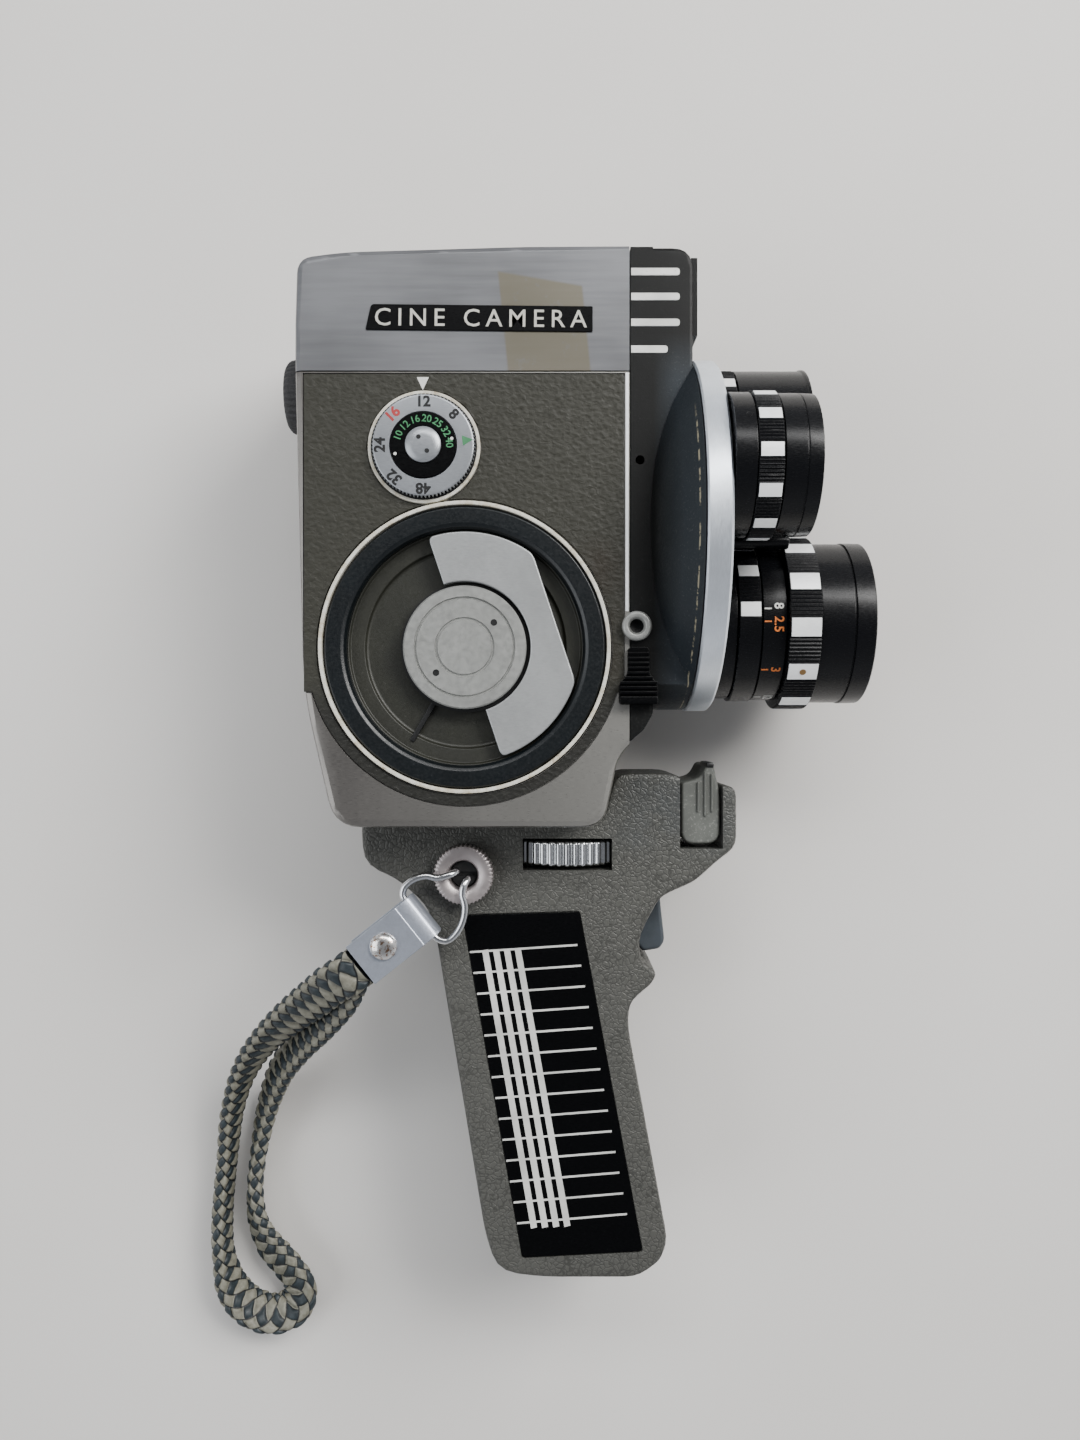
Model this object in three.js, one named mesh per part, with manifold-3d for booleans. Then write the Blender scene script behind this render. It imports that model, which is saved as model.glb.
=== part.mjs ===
// Spring-wound 8 mm cine camera with a three-lens turret, on a pistol grip with a wrist strap.
// Millimetres. The camera lies on its film-door side: +X is the way the lenses look,
// +Y is the camera's top and +Z its winding side.
import * as THREE from "three";
import { mergeVertices } from "three/addons/utils/BufferGeometryUtils.js";
import Module from "manifold-3d";

const wasm = await Module();
wasm.setup();

// ---- Driving dimensions. The drafting origin is carried to the middle of the footprint. ----
const DRAFT_TO_FOOTPRINT = [-8.7, 13.44, 0];
const GAP = 0.3;

// Body
const WIDTH = 60;
const SEAM_X = 19.4;
const SEAM_Y = 75.5;
const DECK_Z = 31;
const CHAMBER_TOP = 28.8;
const PANEL_FLOOR = 59.2;
const EDGE_ROUND = 1.3;

// Winding unit and speed dial, both on the left side
const WINDING = [-16.35, 15.8];
const WINDING_HOLE = 32;
const DISH_FLOOR = 55.6;
const KEY_TILT = 108.5;
const DIAL = [-25.1, 59.1];

// Turret: a fixed ring, and an off-centre plate that carries the lenses
const RING_CENTRE = [42.2, 40.1];
const RING_RADIUS = 40.1;
const RING_BACK = 33.5;
const TURRET_CENTRE = [48.1, 40];
const RING_FACE = 38.8;
const TURRET_FACE = 38.8;
const PLATE_RADIUS = 32.5;
const TALL_LENS_SEAT = 2.3;
const LENS_CIRCLE = 26.1;
const FIRST_LENS_ANGLE = 77.4;

// Grip
const GRIP_MIDDLE = 30;
const GRIP_HALF = 12;
const WHEEL_X = 6.3;
const TRIGGER_PIVOT = [19.6, -41.5];
const STRAP_BOLT = [-17.6, -35.6];

// ---- Finishes: colour, roughness, metalness ----
const FINISH = {
  silver: [0xb7b8b6, 0.38, 0.85],
  warmSilver: [0xa8a39a, 0.36, 0.85],
  chrome: [0xcfd1d3, 0.16, 1],
  steel: [0x8e8d88, 0.35, 0.9],
  brass: [0xb08d4a, 0.35, 0.9],
  charcoal: [0x55574f, 0.55, 0.2],
  blueBlack: [0x1d242c, 0.35, 0.3],
  olive: [0x4b4c45, 0.5, 0.2],
  cream: [0xd8d5c3, 0.6, 0],
  leatherette: [0x77786d, 0.75, 0],
  hammertone: [0x6e6d66, 0.5, 0.5],
  black: [0x17181a, 0.35, 0.1],
  bluePlastic: [0x4c525c, 0.45, 0],
  rubber: [0x232325, 0.85, 0],
  glass: [0x2a3050, 0.05, 0],
  webbing: [0x8d8d80, 0.9, 0],
};

// ---- Solid helpers ----

// Welds a geometry, drops slivers of no area and turns its faces outward
function closed(geometry) {
  const bare = geometry.clone();
  bare.deleteAttribute("normal");
  bare.deleteAttribute("uv");
  const welded = mergeVertices(bare, 1e-4);
  const position = welded.getAttribute("position");
  const index = welded.getIndex().array;
  const corner = [new THREE.Vector3(), new THREE.Vector3(), new THREE.Vector3()];
  const faces = [];
  let volume = 0;
  for (let i = 0; i < index.length; i += 3) {
    const face = [index[i], index[i + 1], index[i + 2]];
    if (face[0] === face[1] || face[1] === face[2] || face[2] === face[0]) continue;
    face.forEach((vertex, k) => corner[k].fromBufferAttribute(position, vertex));
    volume += corner[0].dot(corner[1].clone().cross(corner[2]));
    faces.push(face);
  }
  if (volume < 0) faces.forEach((face) => face.reverse());
  const result = new THREE.BufferGeometry();
  result.setAttribute("position", position);
  result.setIndex(faces.flat());
  return result;
}

function toSolid(geometry) {
  const shell = closed(geometry);
  return new wasm.Manifold(new wasm.Mesh({
    numProp: 3,
    vertProperties: new Float32Array(shell.getAttribute("position").array),
    triVerts: new Uint32Array(shell.getIndex().array),
  }));
}

function fromSolid(solid) {
  const mesh = solid.getMesh();
  const geometry = new THREE.BufferGeometry();
  geometry.setAttribute("position", new THREE.BufferAttribute(new Float32Array(mesh.vertProperties), 3));
  geometry.setIndex(new THREE.BufferAttribute(new Uint32Array(mesh.triVerts), 1));
  return geometry;
}

function cut(geometry, ...tools) {
  return fromSolid(tools.reduce((solid, tool) => solid.subtract(toSolid(tool)), toSolid(geometry)));
}

function join(first, ...others) {
  return fromSolid(others.reduce((solid, other) => solid.add(toSolid(other)), toSolid(first)));
}

function common(first, second) {
  return fromSolid(toSolid(first).intersect(toSolid(second)));
}

// A closed outline from [x, y, trim] corners: a trim above zero rounds the corner off,
// using at most 0.45 of the edge on either side of it
function outline(corners) {
  const shape = new THREE.Shape();
  const points = corners.map(([x, y]) => new THREE.Vector2(x, y));
  corners.forEach(([x, y, trim = 0], i) => {
    const here = points[i];
    const towards = (other) => {
      const edge = other.clone().sub(here);
      return here.clone().add(edge.setLength(Math.min(trim, 0.45 * edge.length())));
    };
    const start = trim > 0 ? towards(points.at(i - 1)) : here;
    if (i === 0) shape.moveTo(start.x, start.y);
    else shape.lineTo(start.x, start.y);
    if (trim > 0) {
      const end = towards(points[(i + 1) % points.length]);
      shape.quadraticCurveTo(x, y, end.x, end.y);
    }
  });
  shape.closePath();
  return shape;
}

// A shape extruded between two heights, with its edges rounded by `round` where that is above 0
function slab(shape, low, high, round = 0, curveSegments = 5) {
  const geometry = new THREE.ExtrudeGeometry(shape, {
    depth: high - low - 2 * round,
    bevelEnabled: round > 0,
    bevelThickness: round,
    bevelSize: round,
    bevelOffset: -round,
    bevelSegments: 2,
    curveSegments,
  });
  return geometry.translate(0, 0, low + round);
}

function block(low, high) {
  const size = high.map((value, i) => value - low[i]);
  const middle = high.map((value, i) => (value + low[i]) / 2);
  return new THREE.BoxGeometry(...size).translate(...middle);
}

// A [radius, height] profile turned about +X, +Y or +Z
function turned(profile, axis = "z", segments = 28) {
  const points = profile.map(([radius, height]) => new THREE.Vector2(radius, height));
  const geometry = new THREE.LatheGeometry(points, segments);
  if (axis === "x") geometry.rotateZ(-Math.PI / 2);
  if (axis === "z") geometry.rotateX(Math.PI / 2);
  return geometry;
}

function rod(radius, low, high, axis = "z", segments = 16) {
  return turned([[0, low], [radius, low], [radius, high], [0, high]], axis, segments);
}

function ring(inner, outer, low, high, axis = "z", segments = 28) {
  return turned([[inner, low], [outer, low], [outer, high], [inner, high], [inner, low]], axis, segments);
}

// A ring whose outside is cut into `count` ribs
function ribbed(inner, outer, low, high, count, depth) {
  const shape = new THREE.Shape();
  for (let i = 0; i < count * 2; i++) {
    const radius = i % 2 === 0 ? outer : outer - depth;
    const from = ((i - 0.3) * Math.PI) / count;
    const to = ((i + 0.3) * Math.PI) / count;
    const method = i === 0 ? "moveTo" : "lineTo";
    shape[method](radius * Math.cos(from), radius * Math.sin(from));
    shape.lineTo(radius * Math.cos(to), radius * Math.sin(to));
  }
  shape.closePath();
  if (inner > 0) shape.holes.push(new THREE.Path().absarc(0, 0, inner, 0, 2 * Math.PI, true));
  return slab(shape, low, high, 0, 12);
}

function wire(points, radius, sides, steps) {
  const path = new THREE.CatmullRomCurve3(points.map((p) => new THREE.Vector3(...p)), false, "centripetal");
  const section = new THREE.Shape();
  for (let i = 0; i < sides; i++) {
    const angle = (2 * Math.PI * i) / sides;
    const method = i === 0 ? "moveTo" : "lineTo";
    section[method](radius * Math.cos(angle), radius * Math.sin(angle));
  }
  section.closePath();
  return new THREE.ExtrudeGeometry(section, { steps, bevelEnabled: false, extrudePath: path });
}

// ---- Scene ----
const camera = new THREE.Group();
const draft = new THREE.Group();
draft.position.set(...DRAFT_TO_FOOTPRINT);
camera.add(draft);

function group(parent, x, y, z) {
  const made = new THREE.Group();
  made.position.set(x, y, z);
  parent.add(made);
  return made;
}

function piece(parent, name, finish, geometry) {
  const [color, roughness, metalness] = FINISH[finish];
  const material = new THREE.MeshStandardMaterial({ color, roughness, metalness });
  const mesh = new THREE.Mesh(closed(geometry), material);
  mesh.name = name;
  parent.add(mesh);
  return mesh;
}

// ---- Body shells ----
const bodySide = outline([
  [-53.3, 86, 0], [-52.9, 100.6, 3.4], [-42.5, 101.95, 4], [-21.8, 102.55, 5], [-4, 103.1, 5], [30, 103.3, 0],
  [30, -3.6, 0], [20.2, -4.6, 2.5],
  [16.9, -8.5, 3], [15.8, -14, 3], [13.8, -23.4, 5], [-44.8, -23.4, 6], [-51.5, 6, 8], [-53.3, 76, 6],
]);
const hollowSide = outline([
  [-50.6, 76, 4], [-50, 96.2, 3], [-9, 100.4, 5], [17, 100.3, 1], [17, -5, 3],
  [13.2, -13, 3], [11.6, -20.9, 3], [-43, -20.9, 4], [-49, 6, 6],
]);
const WHOLE = slab(bodySide, 0, WIDTH, EDGE_ROUND);
const FRONT_HALF = block([SEAM_X, -200, -1], [200, 200, 100]);
const UPPER_LEFT = block([-200, SEAM_Y, DECK_Z], [200, 200, 100]);
const apertureHole = rod(6, 0, 40, "x").translate(0, 67.3, 22.3);
const shutterShaftHole = rod(2, 10, 24, "x").translate(0, 56, 26);
const eyepieceHole = rod(4.7, -60, -48, "x").translate(0, SEAM_Y, 40);

// Leatherette field: a straight panel, with a crescent that runs round the winding unit
function panelField(grow) {
  const radius = 34.4 + grow;
  const low = 6.1 - grow;
  const drop = low - WINDING[1];
  const reach = Math.sqrt(radius * radius - drop * drop);
  const start = Math.atan2(drop, -reach);
  const end = Math.atan2(drop, reach);
  const shape = new THREE.Shape();
  shape.moveTo(-51.2 - grow, low);
  shape.lineTo(WINDING[0] - reach, low);
  shape.absarc(WINDING[0], WINDING[1], radius, start, end, false);
  shape.lineTo(18.2 + grow, low);
  shape.lineTo(18.2 + grow, SEAM_Y - 0.5 + grow);
  shape.lineTo(-51.2 - grow, SEAM_Y - 0.5 + grow);
  shape.closePath();
  return shape;
}

function bodyShells() {
  const tripodHole = rod(5.9, -30, -15, "y").translate(WHEEL_X, 0, GRIP_MIDDLE);
  piece(draft, "main_housing", "warmSilver", cut(
    WHOLE, FRONT_HALF, UPPER_LEFT.clone().translate(0, 0, -GAP / 2),
    slab(hollowSide, -1, CHAMBER_TOP),
    common(slab(hollowSide, CHAMBER_TOP - 1, 57.2), block([-100, -100, 0], [100, 72.8, 100])),
    slab(panelField(0.25), PANEL_FLOOR, 70, 0, 20),
    rod(WINDING_HOLE, 50, 70, "z", 48).translate(...WINDING, 0),
    rod(8, 50, 70).translate(...DIAL, 0),
    apertureHole, shutterShaftHole, eyepieceHole, tripodHole,
  ));
  const lid = common(WHOLE, UPPER_LEFT.clone().translate(0, GAP, GAP));
  piece(draft, "top_cover", "silver", cut(
    lid, FRONT_HALF, eyepieceHole,
    block([-50.6, 60, 0], [30, 96, 57.4]),
    block([-44, 60, 0], [30, 99.6, 57.4]),
  ));
  const plate = outline([[-37.9, 84.1], [9.9, 84.1], [11.5, 90.2], [-36.3, 90.2]]);
  piece(draft, "nameplate", "black", slab(plate, 60.02, 60.4));
  piece(draft, "left_leatherette", "leatherette", cut(
    slab(panelField(0), PANEL_FLOOR + 0.05, 60.05, 0, 20),
    rod(WINDING_HOLE + 0.2, 50, 70, "z", 48).translate(...WINDING, 0),
    rod(12.6, 50, 70).translate(...DIAL, 0),
  ));
  const plateSide = outline([[-49.2, 72.4], [16.6, 72.4], [16.6, -3], [12.8, -12], [-44.4, -12], [-48.2, 5]]);
  piece(draft, "mechanism_plate", "steel", cut(
    slab(plateSide, 28.95, 30.95), rod(3.4, 20, 40).translate(-22, 19, 0),
  ));
  piece(draft, "tripod_bush", "brass", ring(3.35, 5.6, -23.2, -17.2, "y", 20)
    .translate(WHEEL_X, 0, GRIP_MIDDLE));
}

// ---- Dark front casting: side strip, round nose behind the turret ring, and finder hood ----
function frontCasting() {
  const strip = outline([
    [SEAM_X + 0.2, -4.6], [22.6, -2, 0.5], [24.5, 1.5, 1], [24.5, 102.6], [SEAM_X + 0.2, 102.6],
  ]);
  const hood = outline([[SEAM_X + 0.2, 70], [33.2, 70], [33.2, 102.6, 4.5], [SEAM_X + 0.2, 102.6]]);
  const above = block([0, -100, 0], [100, 200, 100]);
  const nose = turned([
    [0, 24], [20, 24], [24.5, 25], [29, 26.7], [33.5, 28.9], [37, 31.2], [39.8, 33.2], [0, 33.2],
  ], "x", 48).translate(0, ...RING_CENTRE);
  const drum = rod(39.8, 24, 33.2, "x", 48).translate(0, ...RING_CENTRE);
  const bezel = block([33, 84, 2], [34.4, 101, 58]);
  const solid = join(
    slab(strip, 0, WIDTH), slab(hood, 0, WIDTH, 0.8), bezel,
    common(nose, above), common(drum, block([0, -100, 0], [100, 200, WIDTH])),
  );
  const noseHollow = turned([
    [0, 26.4], [22, 26.4], [26.6, 28.4], [31, 30.6], [34.6, 33], [34.6, 40], [0, 40],
  ], "x", 28).translate(0, ...RING_CENTRE);
  const drumHollow = common(
    rod(36.4, 22, 40, "x", 28).translate(0, ...RING_CENTRE), block([0, -100, 2.5], [100, 78, 57]),
  );
  piece(draft, "front_casting", "charcoal", cut(
    solid,
    common(noseHollow, above), drumHollow,
    block([10, 87, 34], [40, 98, 48]),
    block([32.6, 86, 33], [40, 99, 49]),
    block([24, 87, 6], [40, 98, 27]),
    block([32.6, 86, 5], [40, 99, 28]),
    apertureHole, shutterShaftHole,
    rod(1, 55, 70).translate(21.7, 56.4, 0),
  ));
  piece(draft, "finder_window", "glass", block([32.9, 86.3, 33.3], [33.9, 98.7, 48.7]));
  piece(draft, "meter_window", "glass", block([32.9, 86.3, 5.3], [33.9, 98.7, 27.7]));
  piece(draft, "meter_cell", "olive", block([27, 88, 7], [30, 97, 26]));
  const tube = block([-46, 79, 34.5], [19, 95.5, 47.5]);
  piece(draft, "finder_tube", "black", cut(tube, block([-44.5, 80.2, 35.7], [30, 94.3, 46.3]),
    block([-50, 80.2, 35.7], [-40, 86, 46.3])));
  piece(draft, "cable_socket", "chrome", ring(1.55, 3.2, 60.05, 62.2, "z", 20).translate(20.9, 20.3, 0));
}

// ---- Winding unit: fixed rings and dish, hub that winds, and a folding D-shaped key ----
function windingUnit() {
  const unit = group(draft, ...WINDING, 0);
  piece(unit, "winding_trim_ring", "cream", ring(30.8, 31.7, 57.5, 60.8, "z", 48));
  piece(unit, "winding_ring", "blueBlack", ring(25.6, 30.5, 57.5, 60.5, "z", 48));
  piece(unit, "winding_dish", "olive", turned([
    [3.6, 54], [31.6, 54], [31.6, 57.2], [25.6, 57.2], [25.6, DISH_FLOOR], [3.6, DISH_FLOOR], [3.6, 54],
  ], "z", 40));
  piece(unit, "mainspring_barrel", "brass", turned([
    [3.6, 34], [24, 34], [24, 51.6], [3.6, 51.6], [3.6, 34],
  ]));
  piece(unit, "winding_hub", "steel", turned([
    [0, 40], [3.2, 40], [3.2, 56], [13.4, 56], [13.4, 60.2], [11.2, 60.2], [11.2, 59.6], [10.4, 59.6],
    [10.4, 60.2], [6.6, 60.2], [6.6, 59.6], [5.9, 59.6], [5.9, 60.4], [0, 60.4],
  ]));
  const tilt = THREE.MathUtils.degToRad(KEY_TILT);
  const shape = new THREE.Shape();
  const outer = 25.1;
  const inner = 14.3;
  const degrees = THREE.MathUtils.degToRad;
  shape.absarc(0, 0, outer, tilt - Math.PI, degrees(-17), false);
  shape.lineTo(outer * Math.cos(degrees(53.7)), outer * Math.sin(degrees(53.7)));
  shape.absarc(0, 0, outer, degrees(53.7), tilt, false);
  shape.lineTo(inner * Math.cos(tilt), inner * Math.sin(tilt));
  shape.absarc(0, 0, inner, tilt, tilt - Math.PI, true);
  shape.closePath();
  piece(unit, "winding_key", "silver", slab(shape, 57.6, 60.2, 0, 10));
}

// ---- Speed dial with the film-speed ring inside it ----
function speedDial() {
  const unit = group(draft, ...DIAL, 0);
  piece(unit, "dial_base_ring", "cream", ring(2.6, 12.2, PANEL_FLOOR + 0.05, 60.7));
  piece(unit, "speed_dial", "silver", ribbed(7.45, 11.2, 61, 62.4, 32, 0.35));
  piece(unit, "film_speed_ring", "black", ring(4.15, 7.15, 61, 62.6));
  piece(unit, "dial_cap", "chrome", turned([
    [0, 52], [2.2, 52], [2.2, 61], [3.85, 61], [3.85, 63.1], [0, 63.5],
  ]));
}

// ---- Film door, its covering and latch, and the parts in the film chamber ----
function filmSide() {
  const doorSide = outline([
    [-50.1, 76, 4], [-49.6, 95.8, 3], [-9, 100, 5], [15.9, 99.9, 1], [15.9, -5, 3],
    [12.6, -13, 3], [11.1, -20.4, 3], [-42.7, -20.4, 4], [-48.5, 6, 6],
  ]);
  const door = slab(doorSide, 0.9, 2.6);
  const latchAt = [-42.5, 40];
  piece(draft, "film_door", "warmSilver", cut(door, rod(2.4, -1, 10).translate(...latchAt, 0)));
  const skin = outline([
    [-47.5, 94], [-8, 97.5], [12.5, 97.4], [12.5, -4], [9.5, -17.8], [-41, -17.8], [-46, 6],
  ]);
  piece(draft, "door_leatherette", "leatherette", cut(
    slab(skin, 0.42, 0.85), rod(7.3, -1, 10).translate(...latchAt, 0),
  ));
  const latch = join(rod(7, 0.42, 0.85), rod(2, 0.5, 5.2), block([-4.8, -2.2, 3.4], [2, 2.2, 5.2]));
  piece(group(draft, ...latchAt, 0), "door_latch", "steel", latch);
  const takeUp = group(draft, -22, 19, 0);
  piece(takeUp, "take_up_spindle", "steel", rod(3, 6, 33));
  piece(takeUp, "take_up_spool", "black", turned([
    [3.3, 8], [24.5, 8], [24.5, 9], [11, 9], [11, 26], [24.5, 26], [24.5, 27], [3.3, 27], [3.3, 8],
  ], "z", 32));
  piece(group(draft, -22, 75, 0), "supply_spindle", "steel", rod(3, 6, 28.4));
  piece(draft, "film_gate", "chrome", cut(
    block([12.6, 52, 8], [13.8, 82, 28]), block([12, 65.2, 20], [15, 69.4, 24.6]),
  ));
  piece(draft, "pressure_plate", "steel", block([9.9, 57, 11], [10.9, 77, 26]));
  piece(group(draft, 0, 56, 26), "shutter", "black", join(
    ring(1, 14, 29.8, 30.4, "x", 28), rod(1.5, 13.9, 30.8, "x"),
  ));
}

// ---- Turret and its three lenses. Profiles are [radius, distance ahead of the turret plate]. ----
function glassDisc(parent, name, radius, near, far, bulge) {
  piece(parent, name, "glass", turned([
    [0, near], [radius, near], [radius, far], [radius * 0.6, far + bulge * 0.64], [0, far + bulge],
  ], "x", 20));
}

function turretAndLenses() {
  const front = group(draft, 0, ...RING_CENTRE);
  const offset = [TURRET_CENTRE[0] - RING_CENTRE[0], TURRET_CENTRE[1] - RING_CENTRE[1]];
  piece(front, "turret_ring", "silver", cut(
    turned([
      [0, RING_BACK], [39.7, RING_BACK], [RING_RADIUS, RING_BACK + 0.4], [RING_RADIUS, RING_FACE - 0.5],
      [39.6, RING_FACE], [0, RING_FACE],
    ], "x", 64),
    rod(PLATE_RADIUS + 0.4, 36.2, 45, "x", 56).translate(0, ...offset),
    rod(4.2, 30, 45, "x").translate(0, ...offset),
    rod(8.5, 30, 45, "x").translate(0, 67.3 - RING_CENTRE[0], 22.3 - RING_CENTRE[1]),
  ));

  const turret = group(draft, 0, ...TURRET_CENTRE);
  const lensAt = [0, 1, 2].map((i) => {
    const angle = THREE.MathUtils.degToRad(FIRST_LENS_ANGLE + 120 * i);
    return [LENS_CIRCLE * Math.cos(angle), LENS_CIRCLE * Math.sin(angle)];
  });
  const hub = turned([
    [0, 31], [3.8, 31], [3.8, 38], [4.9, 38], [4.9, 43.3], [4.4, 43.8], [0, 43.8],
  ], "x", 20);
  piece(turret, "turret_plate", "black", cut(
    join(rod(PLATE_RADIUS, 36.5, TURRET_FACE, "x", 56), hub),
    ...lensAt.map((place) => rod(5.5, 30, 45, "x").translate(0, ...place)),
  ));

  const seat = [TALL_LENS_SEAT, TALL_LENS_SEAT, 0];
  const lens = lensAt.map((place, i) => group(turret, TURRET_FACE + GAP + seat[i], ...place));

  piece(lens[0], "normal_lens_barrel", "black", turned([
    [8.5, -TALL_LENS_SEAT], [15.1, -TALL_LENS_SEAT], [15.1, 1.9], [12.5, 1.9], [12.5, 7.7], [14.9, 7.7],
    [14.9, 12.2], [14.6, 12.4],
    [14.6, 15.2], [13.7, 15.5], [9.4, 12.6], [8.5, 11.4], [8.5, -TALL_LENS_SEAT],
  ], "x"));
  piece(lens[0], "normal_focus_ring", "black", ring(12.8, 15.5, 2.2, 7.4, "x"));
  glassDisc(lens[0], "normal_lens_glass", 8.2, 8.4, 10, 0.9);

  piece(lens[1], "tele_lens_barrel", "black", turned([
    [11, -TALL_LENS_SEAT], [18, -TALL_LENS_SEAT], [18, 3.2], [15.5, 3.2], [15.5, 9], [18.4, 9], [18.4, 14.3],
    [16, 14.3], [16, 22.2],
    [19, 22.2], [19, 29.7], [19.2, 29.9], [19.2, 34.3], [19, 34.6], [17.6, 34.6], [14.2, 30], [13.2, 28.4],
    [13.2, 20], [11, 20], [11, -TALL_LENS_SEAT],
  ], "x"));
  piece(lens[1], "tele_aperture_ring", "black", ring(15.8, 18.7, 3.5, 8.7, "x"));
  piece(lens[1], "tele_focus_ring", "black", ring(16.3, 20.5, 14.6, 21.9, "x"));
  glassDisc(lens[1], "tele_lens_glass", 12.9, 24.4, 26.4, 1.4);

  piece(lens[2], "wide_lens_barrel", "black", turned([
    [10, 0], [18.6, 0], [18.6, 2.1], [16, 2.1], [16, 7.9], [19, 7.9], [19, 24.2], [19.3, 24.4],
    [19.3, 25.1], [18, 25.1], [12.6, 19.8], [12.2, 14], [10, 14], [10, 0],
  ], "x"));
  piece(lens[2], "wide_focus_ring", "black", ring(16.3, 19.2, 2.4, 7.6, "x"));
  glassDisc(lens[2], "wide_lens_glass", 11.9, 15.5, 17.2, 1.6);

  const eye = group(draft, 0, SEAM_Y, 40);
  piece(eye, "eyecup", "rubber", turned([
    [4.6, -54.3], [8.2, -54.3], [8.8, -55.4], [8.4, -57.4], [7, -58.6], [5.6, -58.2], [4.9, -56],
    [4.6, -54.3],
  ], "x", 24));
  piece(eye, "eyepiece_lens", "glass", rod(4.3, -53.9, -52, "x"));
}

// ---- Release slider on the seam between the body and the front casting ----
function releaseSlider() {
  const shape = outline([
    [17, 3.3, 1.5], [25.4, 3.3, 1.5], [25.4, 8.2, 0.8], [23.4, 10.2, 1], [23.4, 15.7, 1.8],
    [19.4, 15.7, 1.8], [19.4, 10.2, 1], [17, 8.2, 0.8],
  ]);
  piece(draft, "release_slider", "black", slab(shape, 60.35, 63.2));
}

// ---- Pistol grip: two cast halves, with the trigger, pusher and clamping wheel between them ----
const gripSide = outline([
  [-41.7, -23.8, 2], [14.6, -23.8, 3], [17.7, -12.4, 3], [31.2, -12.4, 3], [36, -15, 2],
  [45.8, -15.4, 2.5], [45.8, -29.6, 2.5], [41.2, -33, 2], [36.2, -37.6, 2],
  [28, -41.2, 2.5], [22.8, -51, 4], [23.8, -56.2, 1], [27.4, -59, 1.6], [26, -61.6, 1], [21, -65.8, 2.5],
  [20.4, -71, 4], [29.8, -121.6, 3], [28, -126.2, 1.5], [22.8, -130, 3], [0, -130, 5], [-9.9, -128.6, 5],
  [-12.8, -120, 4], [-24.3, -50, 4], [-26.2, -43.6, 3], [-33.2, -37.2, 3], [-41.2, -33.6, 4],
]);
const panelCorners = [[-18.2, -45.2, 0.8], [9.3, -44.4, 0.8], [24, -123.8, 0.8], [-4.2, -125.3, 0.8]];

function grip() {
  const low = GRIP_MIDDLE - GRIP_HALF;
  const high = GRIP_MIDDLE + GRIP_HALF;
  const whole = slab(gripSide, low, high, 1, 3);
  const triggerPocket = outline([
    [13.5, -36.4], [25, -36.4], [40, -37], [40, -57.4], [24.5, -57.2], [19.5, -56], [13.5, -44],
  ]);
  const hollows = [
    block([32.6, -30, 0], [42.6, 0, 100]),
    block([-7.7, -35, 20], [20.4, -27.6, 40]),
    block([-4, -35, 10], [16.8, -27.6, 50]),
    rod(3.35, -40, -20, "y").translate(WHEEL_X, 0, GRIP_MIDDLE),
    slab(triggerPocket, 24.6, 35.4),
    slab(outline(panelCorners), high - 0.6, high + 5),
    slab(outline(panelCorners), low - 5, low + 0.6),
  ];
  const shell = cut(whole, ...hollows);
  const sideOf = (from, to) => common(shell, block([-200, -200, from], [200, 200, to]));
  piece(draft, "grip_left", "hammertone", sideOf(GRIP_MIDDLE + GAP / 2, 100));
  piece(draft, "grip_right", "hammertone", sideOf(0, GRIP_MIDDLE - GAP / 2));
  const inset = panelCorners.map(([x, y, trim]) => [3 + (x - 3) * 0.99, -85 + (y + 85) * 0.996, trim]);
  piece(draft, "grip_panel_left", "black", slab(outline(inset), high - 0.5, high + 0.1));
  piece(draft, "grip_panel_right", "black", slab(outline(inset), low - 0.1, low + 0.5));

  const pusher = outline([
    [33.1, -29, 2], [42.1, -29, 2.5], [42.1, -17, 2], [40.6, -10.4, 0.8], [38.9, -10.6, 0.8],
    [37.6, -13.4, 1], [33.1, -14.6, 0.5],
  ]);
  piece(draft, "finger_pusher", "hammertone", slab(pusher, 20, 41.2));

  const [pivotX, pivotY] = TRIGGER_PIVOT;
  const lever = outline([
    [-3.2, 3.8, 1.5], [5.5, 3.6, 2], [8.9, 1.6, 0.5], [9.4, -6.5, 1], [10.2, -11.4, 1.2], [9, -13.3, 0.6],
    [4.9, -13.9, 0.6], [1.8, -10, 2], [-2.6, -3.5, 1.5],
  ]);
  piece(group(draft, pivotX, pivotY, 0), "trigger", "bluePlastic", slab(lever, 25.2, 34.8));

  const wheelGroup = group(draft, WHEEL_X, 0, GRIP_MIDDLE);
  const wheel = ribbed(0, 13, -3, 3, 24, 0.7).rotateX(Math.PI / 2).translate(0, -31.2, 0);
  piece(wheelGroup, "clamp_wheel", "chrome", wheel);
  piece(wheelGroup, "tripod_screw", "steel", rod(3, -27.9, -18, "y"));
}

// ---- Strap bolt, split ring, clasp and the wrist strap ----
const STRAP_ROUTE = [
  [-40.9, -55.65, 48.9], [-43.6, -57.8, 48.5], [-47.4, -60.4, 45.6], [-53, -65.4, 39.5], [-59.6, -71.2, 32.5],
  [-66.2, -77.6, 25.5], [-72.6, -85.2, 18.5], [-77.6, -94, 12.5], [-80.9, -104, 8.4], [-82.4, -114, 6.4],
  [-83.4, -123, 6], [-84, -132, 6], [-83.7, -141, 6], [-81.6, -149.4, 6], [-76.8, -155, 6], [-70.2, -157, 6],
  [-64.6, -154.6, 6], [-63.4, -149.8, 6], [-66.7, -144.4, 6], [-71.2, -139, 6], [-74.4, -132.6, 6],
  [-75.3, -125.6, 6], [-74.9, -118, 6], [-73.6, -109.6, 6.6], [-71.2, -100.2, 8.6], [-66.9, -90.4, 13.6],
  [-60.4, -81.6, 21], [-52.6, -73, 30.2], [-46.6, -65.4, 38], [-43.6, -59.4, 43.2], [-41.4, -56.1, 44.8],
];

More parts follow.
